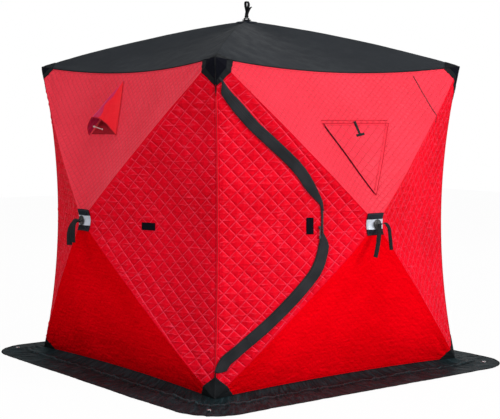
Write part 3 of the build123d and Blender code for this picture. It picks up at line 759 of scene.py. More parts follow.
def moulded(name, base, roughness=0.45, scale=60.0):
    mat = Graph(name)
    colour = mat.mix(mat.noise(scale * 0.5, 3), base, tint(base, 1.5, 0.004))
    height = mat.add(mat.noise(scale * 14, 3), mat.mul(mat.noise(scale, 2), 0.6))
    rough = mat.ramp(mat.noise(scale * 1.3, 3), 0.3, 0.75, roughness - 0.08, roughness + 0.12)
    return mat.finish(colour, rough, mat.bump(height, 0.0003, 0.5), Specular_IOR_Level=0.5)


def fibre_material():
    mat = Graph("pole_fibre")
    base = (0.06, 0.062, 0.068)
    grain = mat.noise(420.0, 3)
    colour = mat.mix(mat.ramp(mat.noise(6.0, 4), 0.35, 0.65), base, tint(base, 1.8, 0.01))
    return mat.finish(colour, mat.ramp(grain, 0.2, 0.8, 0.25, 0.42),
                      mat.bump(grain, 0.0002, 0.6), Coat_Weight=0.25)


def flap_material():
    mat = Graph("cloth_flap")
    across, length = mat.uv("q")
    colour = mat.mix(mat.ramp(mat.noise(9.0, 4), 0.35, 0.7),
                     (0.0150, 0.0160, 0.0185), (0.0235, 0.0245, 0.0280))
    height = mat.mul(mat.noise(42.0, 4, 0.6, 0.8), 1.0)
    # dashed stitching near both edges, whichever side of the zip the flap lies
    stitches = mat.highest(*(
        mat.mul(mat.line(across, place, 0.0004, 0.0014),
                mat.ramp(mat.wave(length, 1400.0), -0.3, 0.3))
        for place in (0.004, 0.048, -0.004, -0.048)))
    colour = mat.mix(mat.mul(stitches, 0.5), colour, (0.05, 0.05, 0.055))
    return mat.finish(colour, 0.62, mat.bump(mat.sub(height, stitches), 0.0009, 0.8),
                      Specular_IOR_Level=0.09)


def zip_material():
    mat = Graph("zip_tape")
    across, length = mat.uv("q")
    tooth = mat.wave(length, 2100.0)
    coil = mat.ramp(mat.absolute(across), 0.0030, 0.0042, 1.0, 0.0)
    teeth_colour = mat.mix(mat.ramp(tooth, -0.2, 0.2),
                           (0.010, 0.010, 0.011), (0.045, 0.042, 0.046))
    colour = mat.mix(coil, (0.014, 0.012, 0.014), teeth_colour)
    height = mat.add(mat.mul(coil, mat.add(mat.mul(tooth, 0.6), 0.9)),
                     mat.mul(mat.wave(across, 2600.0), 0.15))
    return mat.finish(colour, mat.ramp(coil, 0, 1, 0.75, 0.4), mat.bump(height, 0.0008, 0.8),
                      Specular_IOR_Level=0.4)


def hook_loop_material():
    mat = Graph("hook_loop")
    loops = mat.cells(700.0)
    colour = mat.mix(loops, (0.0030, 0.0034, 0.0060), (0.0085, 0.0088, 0.0130))
    return mat.finish(colour, 0.92, mat.bump(loops, 0.0012, 0.9),
                      Specular_IOR_Level=0.02, Sheen_Weight=0.0)


def hub_patch_material(name, banded):
    """Black cloth, with a pale reflective band across it when banded."""
    mat = Graph(name)
    x, y = mat.uv("q")
    band = mat.mul(mat.ramp(y, -0.0275, -0.0262), mat.ramp(y, 0.0262, 0.0275, 1.0, 0.0))
    if not banded:
        band = mat.mul(band, 0.0)
    reflective = mat.mix(mat.ramp(mat.cells(420.0), 0.0, 0.6),
                         (0.66, 0.70, 0.77), (0.50, 0.54, 0.61))
    black = mat.mix(mat.noise(60.0, 4), (0.0055, 0.0075, 0.0125), (0.011, 0.014, 0.021))
    from_centre = mat.highest(mat.absolute(x), mat.absolute(y))
    stitches = mat.line(from_centre, 0.0535, 0.0004, 0.0014)
    colour = mat.mix(band, black, reflective)
    colour = mat.mix(mat.mul(stitches, 0.35), colour, (0.10, 0.10, 0.11))
    height = mat.add(mat.mul(band, 0.5), mat.mul(mat.noise(90.0, 3), 0.5))
    return mat.finish(colour, mat.ramp(band, 0, 1, 0.65, 0.34),
                      mat.bump(mat.sub(height, stitches), 0.0010, 0.8),
                      Specular_IOR_Level=mat.add(mat.mul(band, 0.35), 0.10))


def pane_material():
    mat = Graph("vinyl_pane")
    ripple = mat.noise(14.0, 3)
    return mat.finish(mat.mix(ripple, (0.62, 0.68, 0.72), (0.72, 0.77, 0.80)),
                      mat.ramp(ripple, 0.3, 0.7, 0.06, 0.16), mat.bump(ripple, 0.004, 0.5),
                      Transmission_Weight=0.85, IOR=1.2, Coat_Weight=0.3)


def eyelet_material():
    mat = Graph("eyelet_metal")
    grain = mat.noise(260.0, 3)
    return mat.finish(mat.mix(grain, (0.55, 0.55, 0.56), (0.34, 0.34, 0.35)),
                      mat.ramp(grain, 0.3, 0.7, 0.25, 0.45), mat.bump(grain, 0.0002, 0.6),
                      Metallic=1.0)


def net_material():
    mat = Graph("vent_net")
    axes = mat.split(mat.position())
    hole = mat.mul(*(mat.ramp(mat.absolute(mat.wave(axes[k], 900.0)), 0.35, 0.6)
                     for k in (1, 2)))
    # the net is coloured as the red wall in shade under the hood, darker in its holes: painted shade
    return mat.finish(mat.mix(hole, (0.46, 0.0030, 0.0170), (0.16, 0.0010, 0.0050)), 0.8,
                      mat.bump(hole, -0.0006, 0.8), Specular_IOR_Level=0.2)


# One red in three copies tuned to the light on each side: the upper sides' pinker base, with more specular and
# sheen, is painted sky reflection on the cloth that faces up.
RED_SIDE = cloth_material(
    "cloth_red_side", base=(0.79, 0.0012, 0.0150), deep=(0.68, 0.0008, 0.0110),
    light=(1.0, 0.064, 0.130), cell=FULL_CELL, specular=0.03, crinkle=1.9, groove=1.7,
    stitch_and_groove_shade=0.15, crease_shade=0.20, seam_dark=0.10, highlight=0.60)
RED_UPPER_PAINTED_REFLECTION = cloth_material(
    "cloth_red_upper", base=(0.85, 0.031, 0.060), deep=(0.79, 0.024, 0.049),
    light=(1.0, 0.062, 0.105), cell=SMALL_CELL, specular=0.19, sheen=0.06, crinkle=0.55,
    groove=1.0, stitch_and_groove_shade=0.46, seam_dark=0.06, highlight=0.30)
RED_LOWER = cloth_material(
    "cloth_red_lower", base=(0.82, 0.0002, 0.0050), deep=(0.72, 0.0001, 0.0036),
    light=(0.97, 0.002, 0.014), cell=SMALL_CELL, specular=0.0, crinkle=1.9, groove=0.25,
    stitch_and_groove_shade=0.10, seam_dark=0.10)
ROOF_CLOTH = cloth_material(
    "cloth_roof", base=(0.0262, 0.0292, 0.0335), deep=(0.0222, 0.0250, 0.0288),
    light=(0.033, 0.037, 0.042), lining=(0.02, 0.02, 0.022), roughness=0.72, specular=0.05,
    crinkle=0.16, seam_dark=0.10)
BLACK_CLOTH = plain_cloth("cloth_black", (0.0080, 0.0092, 0.0105), specular=0.06, sheen=0.0,
                          lighter=(0.0135, 0.0150, 0.0168))
WEBBING = webbing_material()
HOOK_LOOP = hook_loop_material()
SIDE_CLOTH = {"left": RED_SIDE, "right": RED_SIDE, "upper": RED_UPPER_PAINTED_REFLECTION, "lower": RED_LOWER}


# ---------------------------------------------------------------- cloth panels
def blend_panel(ob):
    """Bakes the cloth's placement into its mesh."""

    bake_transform(ob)


def cloth_sheet(name, face, side, grid_x, grid_y, hole=None):
    x, y = grid_x.ravel(), grid_y.ravel()
    distances = seam_distances(face, side, *face_to_edge(face, side, x, y))
    verts = cloth_point(face, side, x, y)
    quads = drop_flat(verts, grid_faces(*grid_x.shape))
    if hole:
        triangle, margin = hole
        depth = inside_distance(x[quads].mean(1), y[quads].mean(1), triangle)
        quads = quads[depth <= margin]
    return new_object(name, verts, facing(verts, quads, face.normal),
                      ROOF_CLOTH if face.is_roof else SIDE_CLOTH[side],
                      uv=np.stack([x, y], 1), seam=np.stack(distances, 1),
                      normals=cloth_normals(face, side, x, y))


def panel_sheet(face, side):
    if face.is_roof:
        rows, columns = 120, 66
    else:
        rows, columns = (200, 104) if side in LEVEL else (290, 146)
    even = np.linspace(-1, 1, rows)
    along = even * (1.12 - 0.12 * even * even)        # closer together towards the ridges
    along = along / np.abs(along).max()
    inward = np.linspace(0, 1 - HUB_CLEARANCE / half_spans(face, side)[1], columns)
    grid = edge_to_face(face, side, *np.meshgrid(along, inward, indexing="ij"))
    ob = cloth_sheet(f"cloth_{face.name}_{side}", face, side, *grid,
                     hole=HOLES.get((face.name, side)))
    blend_panel(ob)
    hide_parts(f"{face.name}_panel_{side}")
    if (face.name, side) == ("front", "upper"):
        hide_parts("edge_strips")


for face in FACES.values():
    for side in SIDES:
        if (face.name, side) != ("front", "left"):
            panel_sheet(face, side)

# The front wall's left triangle: a fixed part by the corner, the wall beyond the zip, the door.
HINGE_X = joint_at("door_swing")[0]
DOOR_X = HINGE_X - 0.022           # the line where the door's cloth starts


def ridge_x(y):
    return np.minimum(-np.abs(y) * HALF / HALF_HEIGHT, -HUB_CLEARANCE)


def strip_sheet(name, rows, low, high, columns):
    share = np.linspace(0, 1, columns)
    grid_x = low[:, None] + (high - low)[:, None] * share
    grid_y = np.repeat(rows[:, None], columns, 1)
    ob = cloth_sheet(name, FRONT, "left", grid_x, grid_y)
    return ob


def blend_door(ob):
    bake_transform(ob)


ROWS = np.linspace(-HALF_HEIGHT, HALF_HEIGHT, 320)
outer_edge = -(HALF - EDGE_SLACK["left"][0] * (1 - (ROWS / HALF_HEIGHT) ** 2))
fixed = strip_sheet("cloth_front_left_edge", ROWS, outer_edge,
                    np.minimum(ridge_x(ROWS), DOOR_X), columns=34)
blend_panel(fixed)
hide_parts("front_panel_left")

middle_rows = ROWS[np.abs(ROWS) * HALF / HALF_HEIGHT < -DOOR_X + 0.010]
start_x = np.maximum(zip_x(middle_rows), DOOR_X)
beyond_zip = strip_sheet("cloth_front_left_beyond_zip", middle_rows, start_x,
                         np.maximum(ridge_x(middle_rows), start_x + 0.0004), columns=72)
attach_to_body(beyond_zip, "front_panel_left")

door_rows = middle_rows[zip_x(middle_rows) > DOOR_X + 0.004]
door = strip_sheet("cloth_door", door_rows, np.full(len(door_rows), DOOR_X),
                   zip_x(door_rows) - 0.0004, columns=84)
blend_door(door)
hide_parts("door_zip_flap")


# ---------------------------------------------------------------- ribbons laid on a face
def ribbon(name, face, run, low, high, stand_off, material, side=None, columns=7,
           thick=0.0016, edge_drop=0.0012, wave=0.0, wave_table=0):
    """A closed band along a run of (x, y). low and high place its two edges, measured
    towards the run's direction turned a quarter anticlockwise."""
    count = len(run)
    tangent = unit(np.gradient(run, axis=0))
    sideways = np.stack([-tangent[:, 1], tangent[:, 0]], 1)
    length = run_length(run)
    top, uv = [], []
    for k in range(columns):
        share = k / (columns - 1)
        shift = np.broadcast_to(low + (high - low) * share, count)
        spots = run + sideways * shift[:, None]
        ripple = wave * value_noise(length / 0.055, share * 1.7, wave_table)
        height = stand_off - edge_drop * abs(2 * share - 1) ** 4
        height = height + ripple * (0.35 + 0.65 * share)
        top.append(on_face(face, spots[:, 0], spots[:, 1], height, side))
        uv.append(np.stack([shift, length], 1))
    top, uv = np.array(top), np.array(uv)
    verts = np.concatenate([top, (top - face.normal * thick)[::-1]])
    around = 2 * columns
    quads = grid_faces(around, count, close_rows=True)[:, [0, 3, 2, 1]]
    quads = facing(verts, quads, face.normal, tested=(columns - 1) * (count - 1))
    index = np.arange(around * count).reshape(around, count)
    caps = band_caps(index[:, 0]) + band_caps(index[:, -1])
    return new_object(name, verts, list(quads) + caps, material,
                      uv=np.concatenate([uv, uv[::-1]]), recalc=True)


# ---------------------------------------------------------------- door zip and its flaps
FLAP = flap_material()
ZIP_TAPE = zip_material()
zip_run = resample(ZIP)
zip_y = zip_run[:, 1]


def zip_band(name, run, low, high, stand_off, material, **settings):
    """Running down the zip, positive widths point away from the door."""
    return ribbon(name, FRONT, run, low, high, stand_off, material, side="left", **settings)


def zip_flap(name, run, low, high, wave_table):
    ob = zip_band(name, run, low, high, 0.0096, FLAP, columns=9, wave=0.0016,
                  wave_table=wave_table)
    return ob


top_lead = resample(np.vstack([TOP_TAIL, zip_run[:1]]))
above = np.vstack([top_lead[:-1], zip_run[zip_y > 0.078]])
travel = run_length(above)
# the upper flap's width, pinched at the top corner and tapered to nothing at its foot
upper_width = (0.047 * smooth_step(0.0, 0.19, travel[-1] - travel) ** 0.62
               * (0.62 + 0.38 * smooth_step(0, 0.20, travel))
               * (0.10 + 0.90 * smooth_step(0.030, 0.085, travel) ** 0.7))
upper_bow = 0.014 * np.exp(-((travel - 0.22) / 0.13) ** 2)
blend_panel(zip_flap("flap_upper", above, upper_bow - upper_width, upper_bow + 0.007, 4))

foot_lead = resample(np.vstack([zip_run[-1:], FOOT_TAIL]))
below = np.vstack([zip_run[zip_y < -0.034], foot_lead[1:]])
travel = run_length(below)
lower_width = (0.045 * smooth_step(-0.004, 0.075, travel) ** 0.6
               * (0.12 + 0.88 * smooth_step(0, 0.034, travel[-1] - travel) ** 0.5))
on_door = below[:, 0] >= DOOR_X - 0.006
on_corner = below[:, 0] < DOOR_X + 0.002
blend_door(zip_flap("flap_lower", below[on_door], -0.007, lower_width[on_door], 5))
blend_panel(zip_flap("flap_lower_end", below[on_corner], -0.007, lower_width[on_corner], 5))

door_zip = zip_run[zip_run[:, 0] > DOOR_X]
tape = zip_band("zip_tape_door", door_zip, -0.0062, -0.0002, 0.0056, ZIP_TAPE, columns=5)
blend_door(tape)
tape = zip_band("zip_tape_wall", door_zip, 0.0002, 0.0062, 0.0056, ZIP_TAPE, columns=5)
attach(tape, "front_panel_left")


def zip_teeth():
    """Raised teeth in the part the flaps leave bare, alternating across the zip."""
    bare = resample(zip_run[(zip_y < 0.10) & (zip_y > -0.09)], step=0.0032)
    verts, faces = [], []
    half_width, half_length, half_height = 0.0020, 0.0009, 0.0008
    for i, (spot, tangent) in enumerate(zip(bare, unit(np.gradient(bare, axis=0)))):
        sideways = np.array([-tangent[1], tangent[0]])
        middle = spot + sideways * 0.0016 * (-1 if i % 2 else 1)
        base = on_face(FRONT, middle[0], middle[1], 0.0064, "left")
        across, lengthwise = (direction[0] * FRONT.x_dir + direction[1] * FRONT.y_dir
                              for direction in (sideways, tangent))
        k = len(verts)
        for dz in (-half_height, half_height):
            for sx, sy in ((-1, -1), (1, -1), (1, 1), (-1, 1)):
                verts.append(base + across * sx * half_width + lengthwise * sy * half_length
                             + FRONT.normal * dz)
        faces += [(k, k + 3, k + 2, k + 1), (k + 4, k + 5, k + 6, k + 7),
                  (k, k + 1, k + 5, k + 4), (k + 1, k + 2, k + 6, k + 5),
                  (k + 2, k + 3, k + 7, k + 6), (k + 3, k, k + 4, k + 7)]
    material = moulded("zip_teeth", (0.03, 0.03, 0.033), roughness=0.35, scale=200.0)
    ob = new_object("zip_teeth", verts, faces, material, smooth=False)
    attach(ob, "front_panel_left")


zip_teeth()


# ---------------------------------------------------------------- patches
def upright_patch(name, face, side, x, y, width, height, stand_off, material, thick=0.002):
    run = np.array([(x, y + s)
                    for s in np.linspace(-height / 2, height / 2, max(5, int(height / 0.008)))])
    return ribbon(name, face, run, -width / 2, width / 2, stand_off, material, side=side,
                  columns=9, thick=thick, edge_drop=0.0014)


for name, face, side, pad, body in (
        ("hook_pad_door", FRONT, "left", DOOR_PAD, "door"),
        ("hook_pad_wall", LEFT, "right", WALL_PAD, "left_panel_right")):
    ob = upright_patch(name, face, side, pad.x, pad.y, pad.width, pad.height, 0.0034, HOOK_LOOP)
    attach(ob, body)

# tape behind the two points where the zip's end, the corner cloth and the fold line meet
for name, y in (("seam_tape_top", 0.700443), ("seam_tape_foot", -0.700443)):
    ob = upright_patch(name, FRONT, "left", -0.7245, y, 0.011, 0.018, -0.0022, RED_SIDE,
                       thick=0.001)
    blend_panel(ob)


def hub_patch(face, material):
    """A square that follows the cloth, flattens over the hub and puckers at its stitching."""
    half, count = (0.046 if face.is_roof else 0.060), 31
    spots = np.linspace(-half, half, count)
    x, y = np.meshgrid(spots, spots, indexing="ij")
    radius = np.hypot(x, y)
    from_centre = np.maximum(np.abs(x), np.abs(y))
    pucker = 0.0012 * value_noise(x / 0.018, y / 0.018, 4) * smooth_step(0.02, 0.04, radius)
    height = ((0.0034 if face.is_roof else 0.0058) + pucker
              - 0.0012 * smooth_step(half - 0.006, half, from_centre))
    # the middle point is moved off the exact centre, where the four sides meet
    central = radius < 1e-4
    verts = on_face(face, x + np.where(central, 4e-4, 0), y + np.where(central, 7e-4, 0), height)
    verts = verts.reshape(-1, 3)
    out = (verts - face.centre) @ face.normal
    flat = (1 - smooth_step(0.012, 0.042, radius)).ravel()
    shift = (np.minimum(out, face.push - 0.0005 + 0.0045) - out) * flat
    verts = verts + shift[:, None] * face.normal
    ob = new_object(f"hub_patch_{face.name}", verts,
                    facing(verts, grid_faces(count, count), face.normal), material,
                    uv=np.stack([x.ravel(), y.ravel()], 1))
    thicken(ob, 0.0022)
    attach(ob, f"{face.name}_hub")


BANDED_PATCH = hub_patch_material("hub_patch", banded=True)
PLAIN_PATCH = hub_patch_material("hub_patch_plain", banded=False)
for face in FACES.values():
    hub_patch(face, PLAIN_PATCH if face.is_roof else BANDED_PATCH)


# ---------------------------------------------------------------- hubs
def islands(mesh):
    """The connected pieces of a bmesh, as lists of vertices."""
    seen, pieces = set(), []
    for first in mesh.verts:
        if first in seen:
            continue
        seen.add(first)
        stack, piece = [first], []
        while stack:
            vert = stack.pop()
            piece.append(vert)
            for edge in vert.link_edges:
                other = edge.other_vert(vert)
                if other not in seen:
                    seen.add(other)
                    stack.append(other)
        pieces.append(piece)
    return pieces


def keep_pieces(source, mesh_name, object_name, material, unwanted):
    """A copy of a CAD node without the connected pieces whose points are unwanted."""
    mesh = bmesh.new()
    mesh.from_mesh(source.data)
    bmesh.ops.remove_doubles(mesh, verts=mesh.verts, dist=1e-6)
    scrap = [vert for piece in islands(mesh)
             if unwanted(np.array([vert.co[:] for vert in piece])) for vert in piece]
    bmesh.ops.delete(mesh, geom=scrap, context="VERTS")
    data = bpy.data.meshes.new(mesh_name)
    mesh.to_mesh(data)
    mesh.free()
    ob = bpy.data.objects.new(object_name, data)
    bpy.context.scene.collection.objects.link(ob)
    data.materials.append(material)
    for polygon in data.polygons:
        polygon.material_index = 0
    return ob


def hub_body(face, material):
    """The CAD hub without its flat cloth patch."""
    ob = keep_pieces(
        frame["nodes"][f"{face.name}_hub"], f"hub_{face.name}", f"hub_body_{face.name}",
        material, lambda points: ((points - face.centre) @ face.x_dir).max() > 0.055)
    for polygon in ob.data.polygons:
        polygon.use_smooth = True
    ob.data.set_sharp_from_angle(angle=math.radians(35))
    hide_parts(f"{face.name}_hub")
    attach(ob, f"{face.name}_hub")


HUB_PLASTIC = moulded("hub_moulded", (0.012, 0.012, 0.014))
for face in FACES.values():
    hub_body(face, HUB_PLASTIC)


# ---------------------------------------------------------------- webbing pull straps
def strap(name, path, width_dir, width, thick, twist=0.0):
    """Flat webbing along a path, turned about it by twist (one angle or one per point)."""
    columns = 5
    tangent = unit(np.gradient(path, axis=0))
    wide = unit(width_dir - (width_dir * tangent).sum(1, keepdims=True) * tangent)
    normal = np.cross(tangent, wide)
    angle = np.asarray(twist)[..., None]
    wide, normal = (wide * np.cos(angle) + normal * np.sin(angle),
                    normal * np.cos(angle) - wide * np.sin(angle))
    # the section, thinner at its two edges: across and through, as shares
    upper = [(-0.5 + k / (columns - 1), 0.5 if 0 < k < columns - 1 else 0.30)
             for k in range(columns)]
    section = upper + [(across, -through) for across, through in reversed(upper)]
    length = run_length(path)
    verts, uv = [], []
    for i in range(len(path)):
        for across, through in section:
            verts.append(path[i] + wide[i] * across * width + normal[i] * through * thick)
            uv.append((across * width, length[i]))
    size = len(section)
    quads = grid_faces(len(path), size, close_columns=True)
    caps = band_caps(range(size)) + band_caps(range(len(verts) - size, len(verts)))
    return new_object(name, verts, list(quads) + caps, WEBBING, uv=uv, recalc=True)


def join(name, parts):
    bpy.ops.object.select_all(action="DESELECT")
    for part in parts:
        part.select_set(True)
    bpy.context.view_layer.objects.active = parts[0]
    bpy.ops.object.join()
    ob = bpy.context.view_layer.objects.active
    ob.name = name
    ob.data.name = name
    return ob


# Strap paths from the bail, (x, y, z) in the face's axes.
ROOF_LOOP = [
    (0, 0.004, 0.004), (0, 0.002, 0.030), (0, -0.010, 0.056), (0, -0.020, 0.082),
    (0, -0.008, 0.101), (0, 0.010, 0.097), (0, 0.010, 0.074), (0, 0.002, 0.050),
    (0, -0.003, 0.028), (0, -0.004, 0.004)]
ROOF_TAIL = [(0, -0.004, 0.012), (0, -0.013, 0.034), (0, -0.030, 0.056), (0, -0.044, 0.066)]
# On the left wall: both ends stiff, out past the bail and then hanging.
LEFT_STRAPS = SimpleNamespace(
    long=[(0, 0, 0.004), (0, -0.004, 0.026), (0, -0.026, 0.050),
          (-0.004, -0.070, 0.062), (-0.012, -0.135, 0.058)],
    short=[(0.003, 0, 0.004), (0, 0.003, 0.024), (0.008, -0.018, 0.044),
           (0.012, -0.062, 0.052), (0.008, -0.120, 0.048)],
    lean=-0.80, long_width=0.030, short_width=0.028, knot_tilt=math.radians(38))
WALL_STRAPS = SimpleNamespace(
    long=[(0, 0, 0.003), (-0.006, -0.030, 0.010), (-0.016, -0.078, 0.016),
          (-0.030, -0.122, 0.022), (-0.046, -0.172, 0.024)],
    short=[(0.004, 0, 0.004), (0.030, 0.004, 0.018), (0.050, -0.020, 0.026),
           (0.058, -0.072, 0.028), (0.070, -0.140, 0.026)],
    lean=0.55, long_width=0.024, short_width=0.020, knot_tilt=math.radians(20))


def pull_strap(face):
    pivot = np.array(joint_at(f"{face.name}_pull_strap_swing"), float)
    axes = np.array([face.x_dir, face.y_dir, face.normal])

    def path(offsets, steps):
        return catmull_rom(pivot + np.array(offsets, float) @ axes, steps, extend_ends=True)

    if face.is_roof:
        # a hand loop standing over the bail, one short tail beside it
        parts = [strap("strap_1", path(ROOF_LOOP, 10), face.x_dir, 0.019, 0.0022),
                 strap("strap_2", path(ROOF_TAIL, 10), face.x_dir + face.y_dir * 0.2,
                       0.017, 0.0022)]
        knot_dir, knot_offset = face.normal, 0.012
    else:
        ends = LEFT_STRAPS if face is LEFT else WALL_STRAPS
        long, short = path(ends.long, 15), path(ends.short, 15)
        long_twist = (np.linspace(ends.lean * 0.5, ends.lean, len(long))
                      + 0.12 * np.sin(np.linspace(0, 5, len(long))))
        short_twist = (np.linspace(ends.lean * 0.3, ends.lean * 1.1, len(short))
                       - 0.15 * np.sin(np.linspace(0, 4, len(short))))
        parts = [strap("strap_1", long, face.x_dir, ends.long_width, 0.0024, long_twist),
                 strap("strap_2", short, face.x_dir, ends.short_width, 0.0024, short_twist)]
        tilt = ends.knot_tilt
        knot_dir, knot_offset = -face.y_dir * math.cos(tilt) + face.normal * math.sin(tilt), 0.004
    # the knot: webbing wrapped twice round the bail
    knot = pivot + knot_dir * knot_offset
    turn = np.linspace(0, 2 * math.pi, 40)
    for radius, phase in ((0.0060, 0.0), (0.0052, 0.9)):
        ring = (knot + np.outer(np.cos(turn), knot_dir) * radius * 1.15
                + np.outer(np.sin(turn), np.cross(face.x_dir, knot_dir)) * radius
                + np.outer(np.sin(turn + phase), face.x_dir) * 0.004)
        parts.append(strap("knot_wrap", ring, face.x_dir, 0.0125, 0.0026))
    ob = join(f"pull_strap_webbing_{face.name}", parts)
    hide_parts(f"{face.name}_pull_strap")
    attach(ob, f"{face.name}_pull_strap")


for face in FACES.values():
    pull_strap(face)


# ---------------------------------------------------------------- window
def triangle_piece(name, face, side, triangle, stand_off, material, count, thick,
                   crown=0.0, wrinkle=0.0):
    """A closed triangular sheet over a face, blunted just short of its third point."""
    down, across = np.meshgrid(np.linspace(0, 0.985, count), np.linspace(0, 1, count),
                               indexing="ij")
    first, second, third = triangle
    down, across = down[..., None], across[..., None]
    spots = (first + (second - first) * across) * (1 - down) + third * down
    x, y = spots[..., 0], spots[..., 1]
    depth = inside_distance(x, y, triangle)
    height = (stand_off + crown * smooth_step(0, 0.05, depth)
              + wrinkle * value_noise(x / 0.05, y / 0.06, 8) * smooth_step(0, 0.03, depth))
    top = on_face(face, x, y, height, side).reshape(-1, 3)
    under = on_face(face, x, y, stand_off - thick, side).reshape(-1, 3)
    total = count * count
    quads = grid_faces(count, count)
    index = np.arange(total).reshape(count, count)
    border = np.concatenate([index[0], index[1:, -1], index[-1, :-1][::-1],
                             index[1:-1, 0][::-1]])
    after = np.roll(border, -1)
    faces = np.vstack([facing(top, quads, face.normal),
                       facing(under, quads, -face.normal) + total,
                       np.stack([border, after, after + total, border + total], 1)])
    seam = np.stack([np.full(total, 0.3), depth.ravel()], 1)
    return new_object(name, np.concatenate([top, under]), faces, material, recalc=True,
                      uv=np.tile(spots.reshape(-1, 2), (2, 1)), seam=np.tile(seam, (2, 1)))


# the window cover lies on the upper side and takes the same pinker base: painted sky reflection
COVER_CLOTH = cloth_material(
    "cloth_window_cover", base=(0.84, 0.028, 0.056), deep=(0.78, 0.021, 0.046),
    light=(1.0, 0.062, 0.105), cell=(0.95, 0.66), specular=0.19, sheen=0.05, crinkle=0.5,
    groove=1.0, stitch_and_groove_shade=0.60, seam_dark=0.0, highlight=0.35)
cover = triangle_piece("window_cover_cloth", FRONT, "upper", WINDOW, 0.0066, COVER_CLOTH,
                       count=34, thick=0.0018, crown=0.0022, wrinkle=0.0012)
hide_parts("window_cover")
attach(cover, "window_cover")

SEAM_STITCH = plain_cloth("seam_stitch_red", (0.50, 0.009, 0.026), roughness=0.6, sheen=0.02,
                          specular=0.12)
WINDOW_ZIP = plain_cloth("window_zip_tape", (0.185, 0.006, 0.017), roughness=0.6, sheen=0.0,
                         specular=0.06, lighter=(0.260, 0.009, 0.026))


def window_trim(name, start, end, half_width, stand_off, material, body="window_cover",
                columns=7, thick=0.0016, widen=0.0):
    """A straight ribbon on the window's side of the front wall."""
    ob = ribbon(name, FRONT, resample([start, end]), -half_width, half_width + widen,
                stand_off, material, side="upper", columns=columns, thick=thick)
    attach(ob, body)


TOP_LEFT, TOP_RIGHT, FOOT = WINDOW
window_trim("window_zip_left", TOP_LEFT, FOOT, 0.0015, 0.0095, WINDOW_ZIP, widen=0.0004)
window_trim("window_zip_right", TOP_RIGHT, FOOT, 0.0022, 0.0092, SEAM_STITCH)
window_trim("window_stitch_right", TOP_RIGHT + (-0.022, 0), FOOT + (-0.004, 0.03), 0.0014,
            0.0094, SEAM_STITCH, columns=3)
for k, (rise, stand_off, body) in enumerate(((0.0, 0.0092, "window_cover"),
                                             (0.016, 0.0046, "front_panel_upper"))):
    window_trim(f"window_top_seam_{k}", TOP_LEFT + (-0.004, rise), TOP_RIGHT + (0.004, rise),
                0.0018, stand_off, SEAM_STITCH, body=body, columns=3)
window_trim("window_toggle_strap", (0.008, 0.552), (0.026, 0.478), 0.0085, 0.0115, WEBBING,
            columns=5, thick=0.002)
window_trim("window_toggle_bar", (-0.004, 0.474), (0.056, 0.484), 0.0065, 0.0125, WEBBING,
            columns=5, thick=0.003)
# binding round the window opening, under the cover
for i in range(3):
    window_trim(f"window_binding_{i}", WINDOW_HOLE[i], WINDOW_HOLE[(i + 1) % 3], 0.012, 0.0030,
                BLACK_CLOTH, body="front_panel_upper", columns=5)

# ---------------------------------------------------------------- seams and piping
SEAM_DARK = plain_cloth("seam_binding_dark", (0.10, 0.004, 0.010), roughness=0.6)
ob = ribbon("seam_door_wall_upper", FRONT, resample([(0.530, 0.815), (0.617, 0.540)]),
            -0.0024, 0.0024, 0.0042, SEAM_DARK, columns=3)
attach(ob, "front_panel_upper")


def tube(name, path, radius, material, segments=10):
    tangent = unit(np.gradient(path, axis=0))
    first = unit(np.cross(tangent, [0.31, 0.47, 0.83]))    # any direction off the path
    second = np.cross(tangent, first)
    turn = np.linspace(0, 2 * math.pi, segments, endpoint=False)[None, :, None]
    verts = path[:, None] + radius * (np.cos(turn) * first[:, None]
                                      + np.sin(turn) * second[:, None])
    total = len(path) * segments
    caps = [range(segments), range(total - segments, total)]
    faces = list(grid_faces(len(path), segments, close_columns=True)) + caps
    return new_object(name, verts, faces, material, recalc=True)


def edge_piping(name, face, side, along, radius, material):
    x, y = edge_to_face(face, side, along, np.zeros_like(along))
    attach(tube(name, cloth_point(face, side, x, y), radius, material), "base")


PIPING_RED = plain_cloth("piping_red", (0.40, 0.002, 0.010), roughness=0.6, sheen=0.03,
                         specular=0.15)
PIPING_BLACK = plain_cloth("piping_black", (0.0075, 0.0082, 0.0098), specular=0.08, sheen=0.0)
for name, face_name, side in (("near", "front", "left"), ("door_right", "front", "right"),
                              ("back_a", "back", "left"), ("back_b", "back", "right")):
    name = f"piping_vertical_{name}"
    face = FACES[face_name]
    edge_piping(name, face, side, np.linspace(-0.87, 0.85, 100), 0.0024, PIPING_RED)
    for end, start, stop in (("_top", 0.845, 1.0), ("_foot", -1.0, -0.865)):
        edge_piping(name + end, face, side, np.linspace(start, stop, 24), 0.0046,
                    PIPING_BLACK)
for name in ("front", "left", "right", "back"):
    edge_piping(f"piping_eave_{name}", FACES[name], "upper", np.linspace(-1, 1, 120), 0.0034,
                PIPING_BLACK)


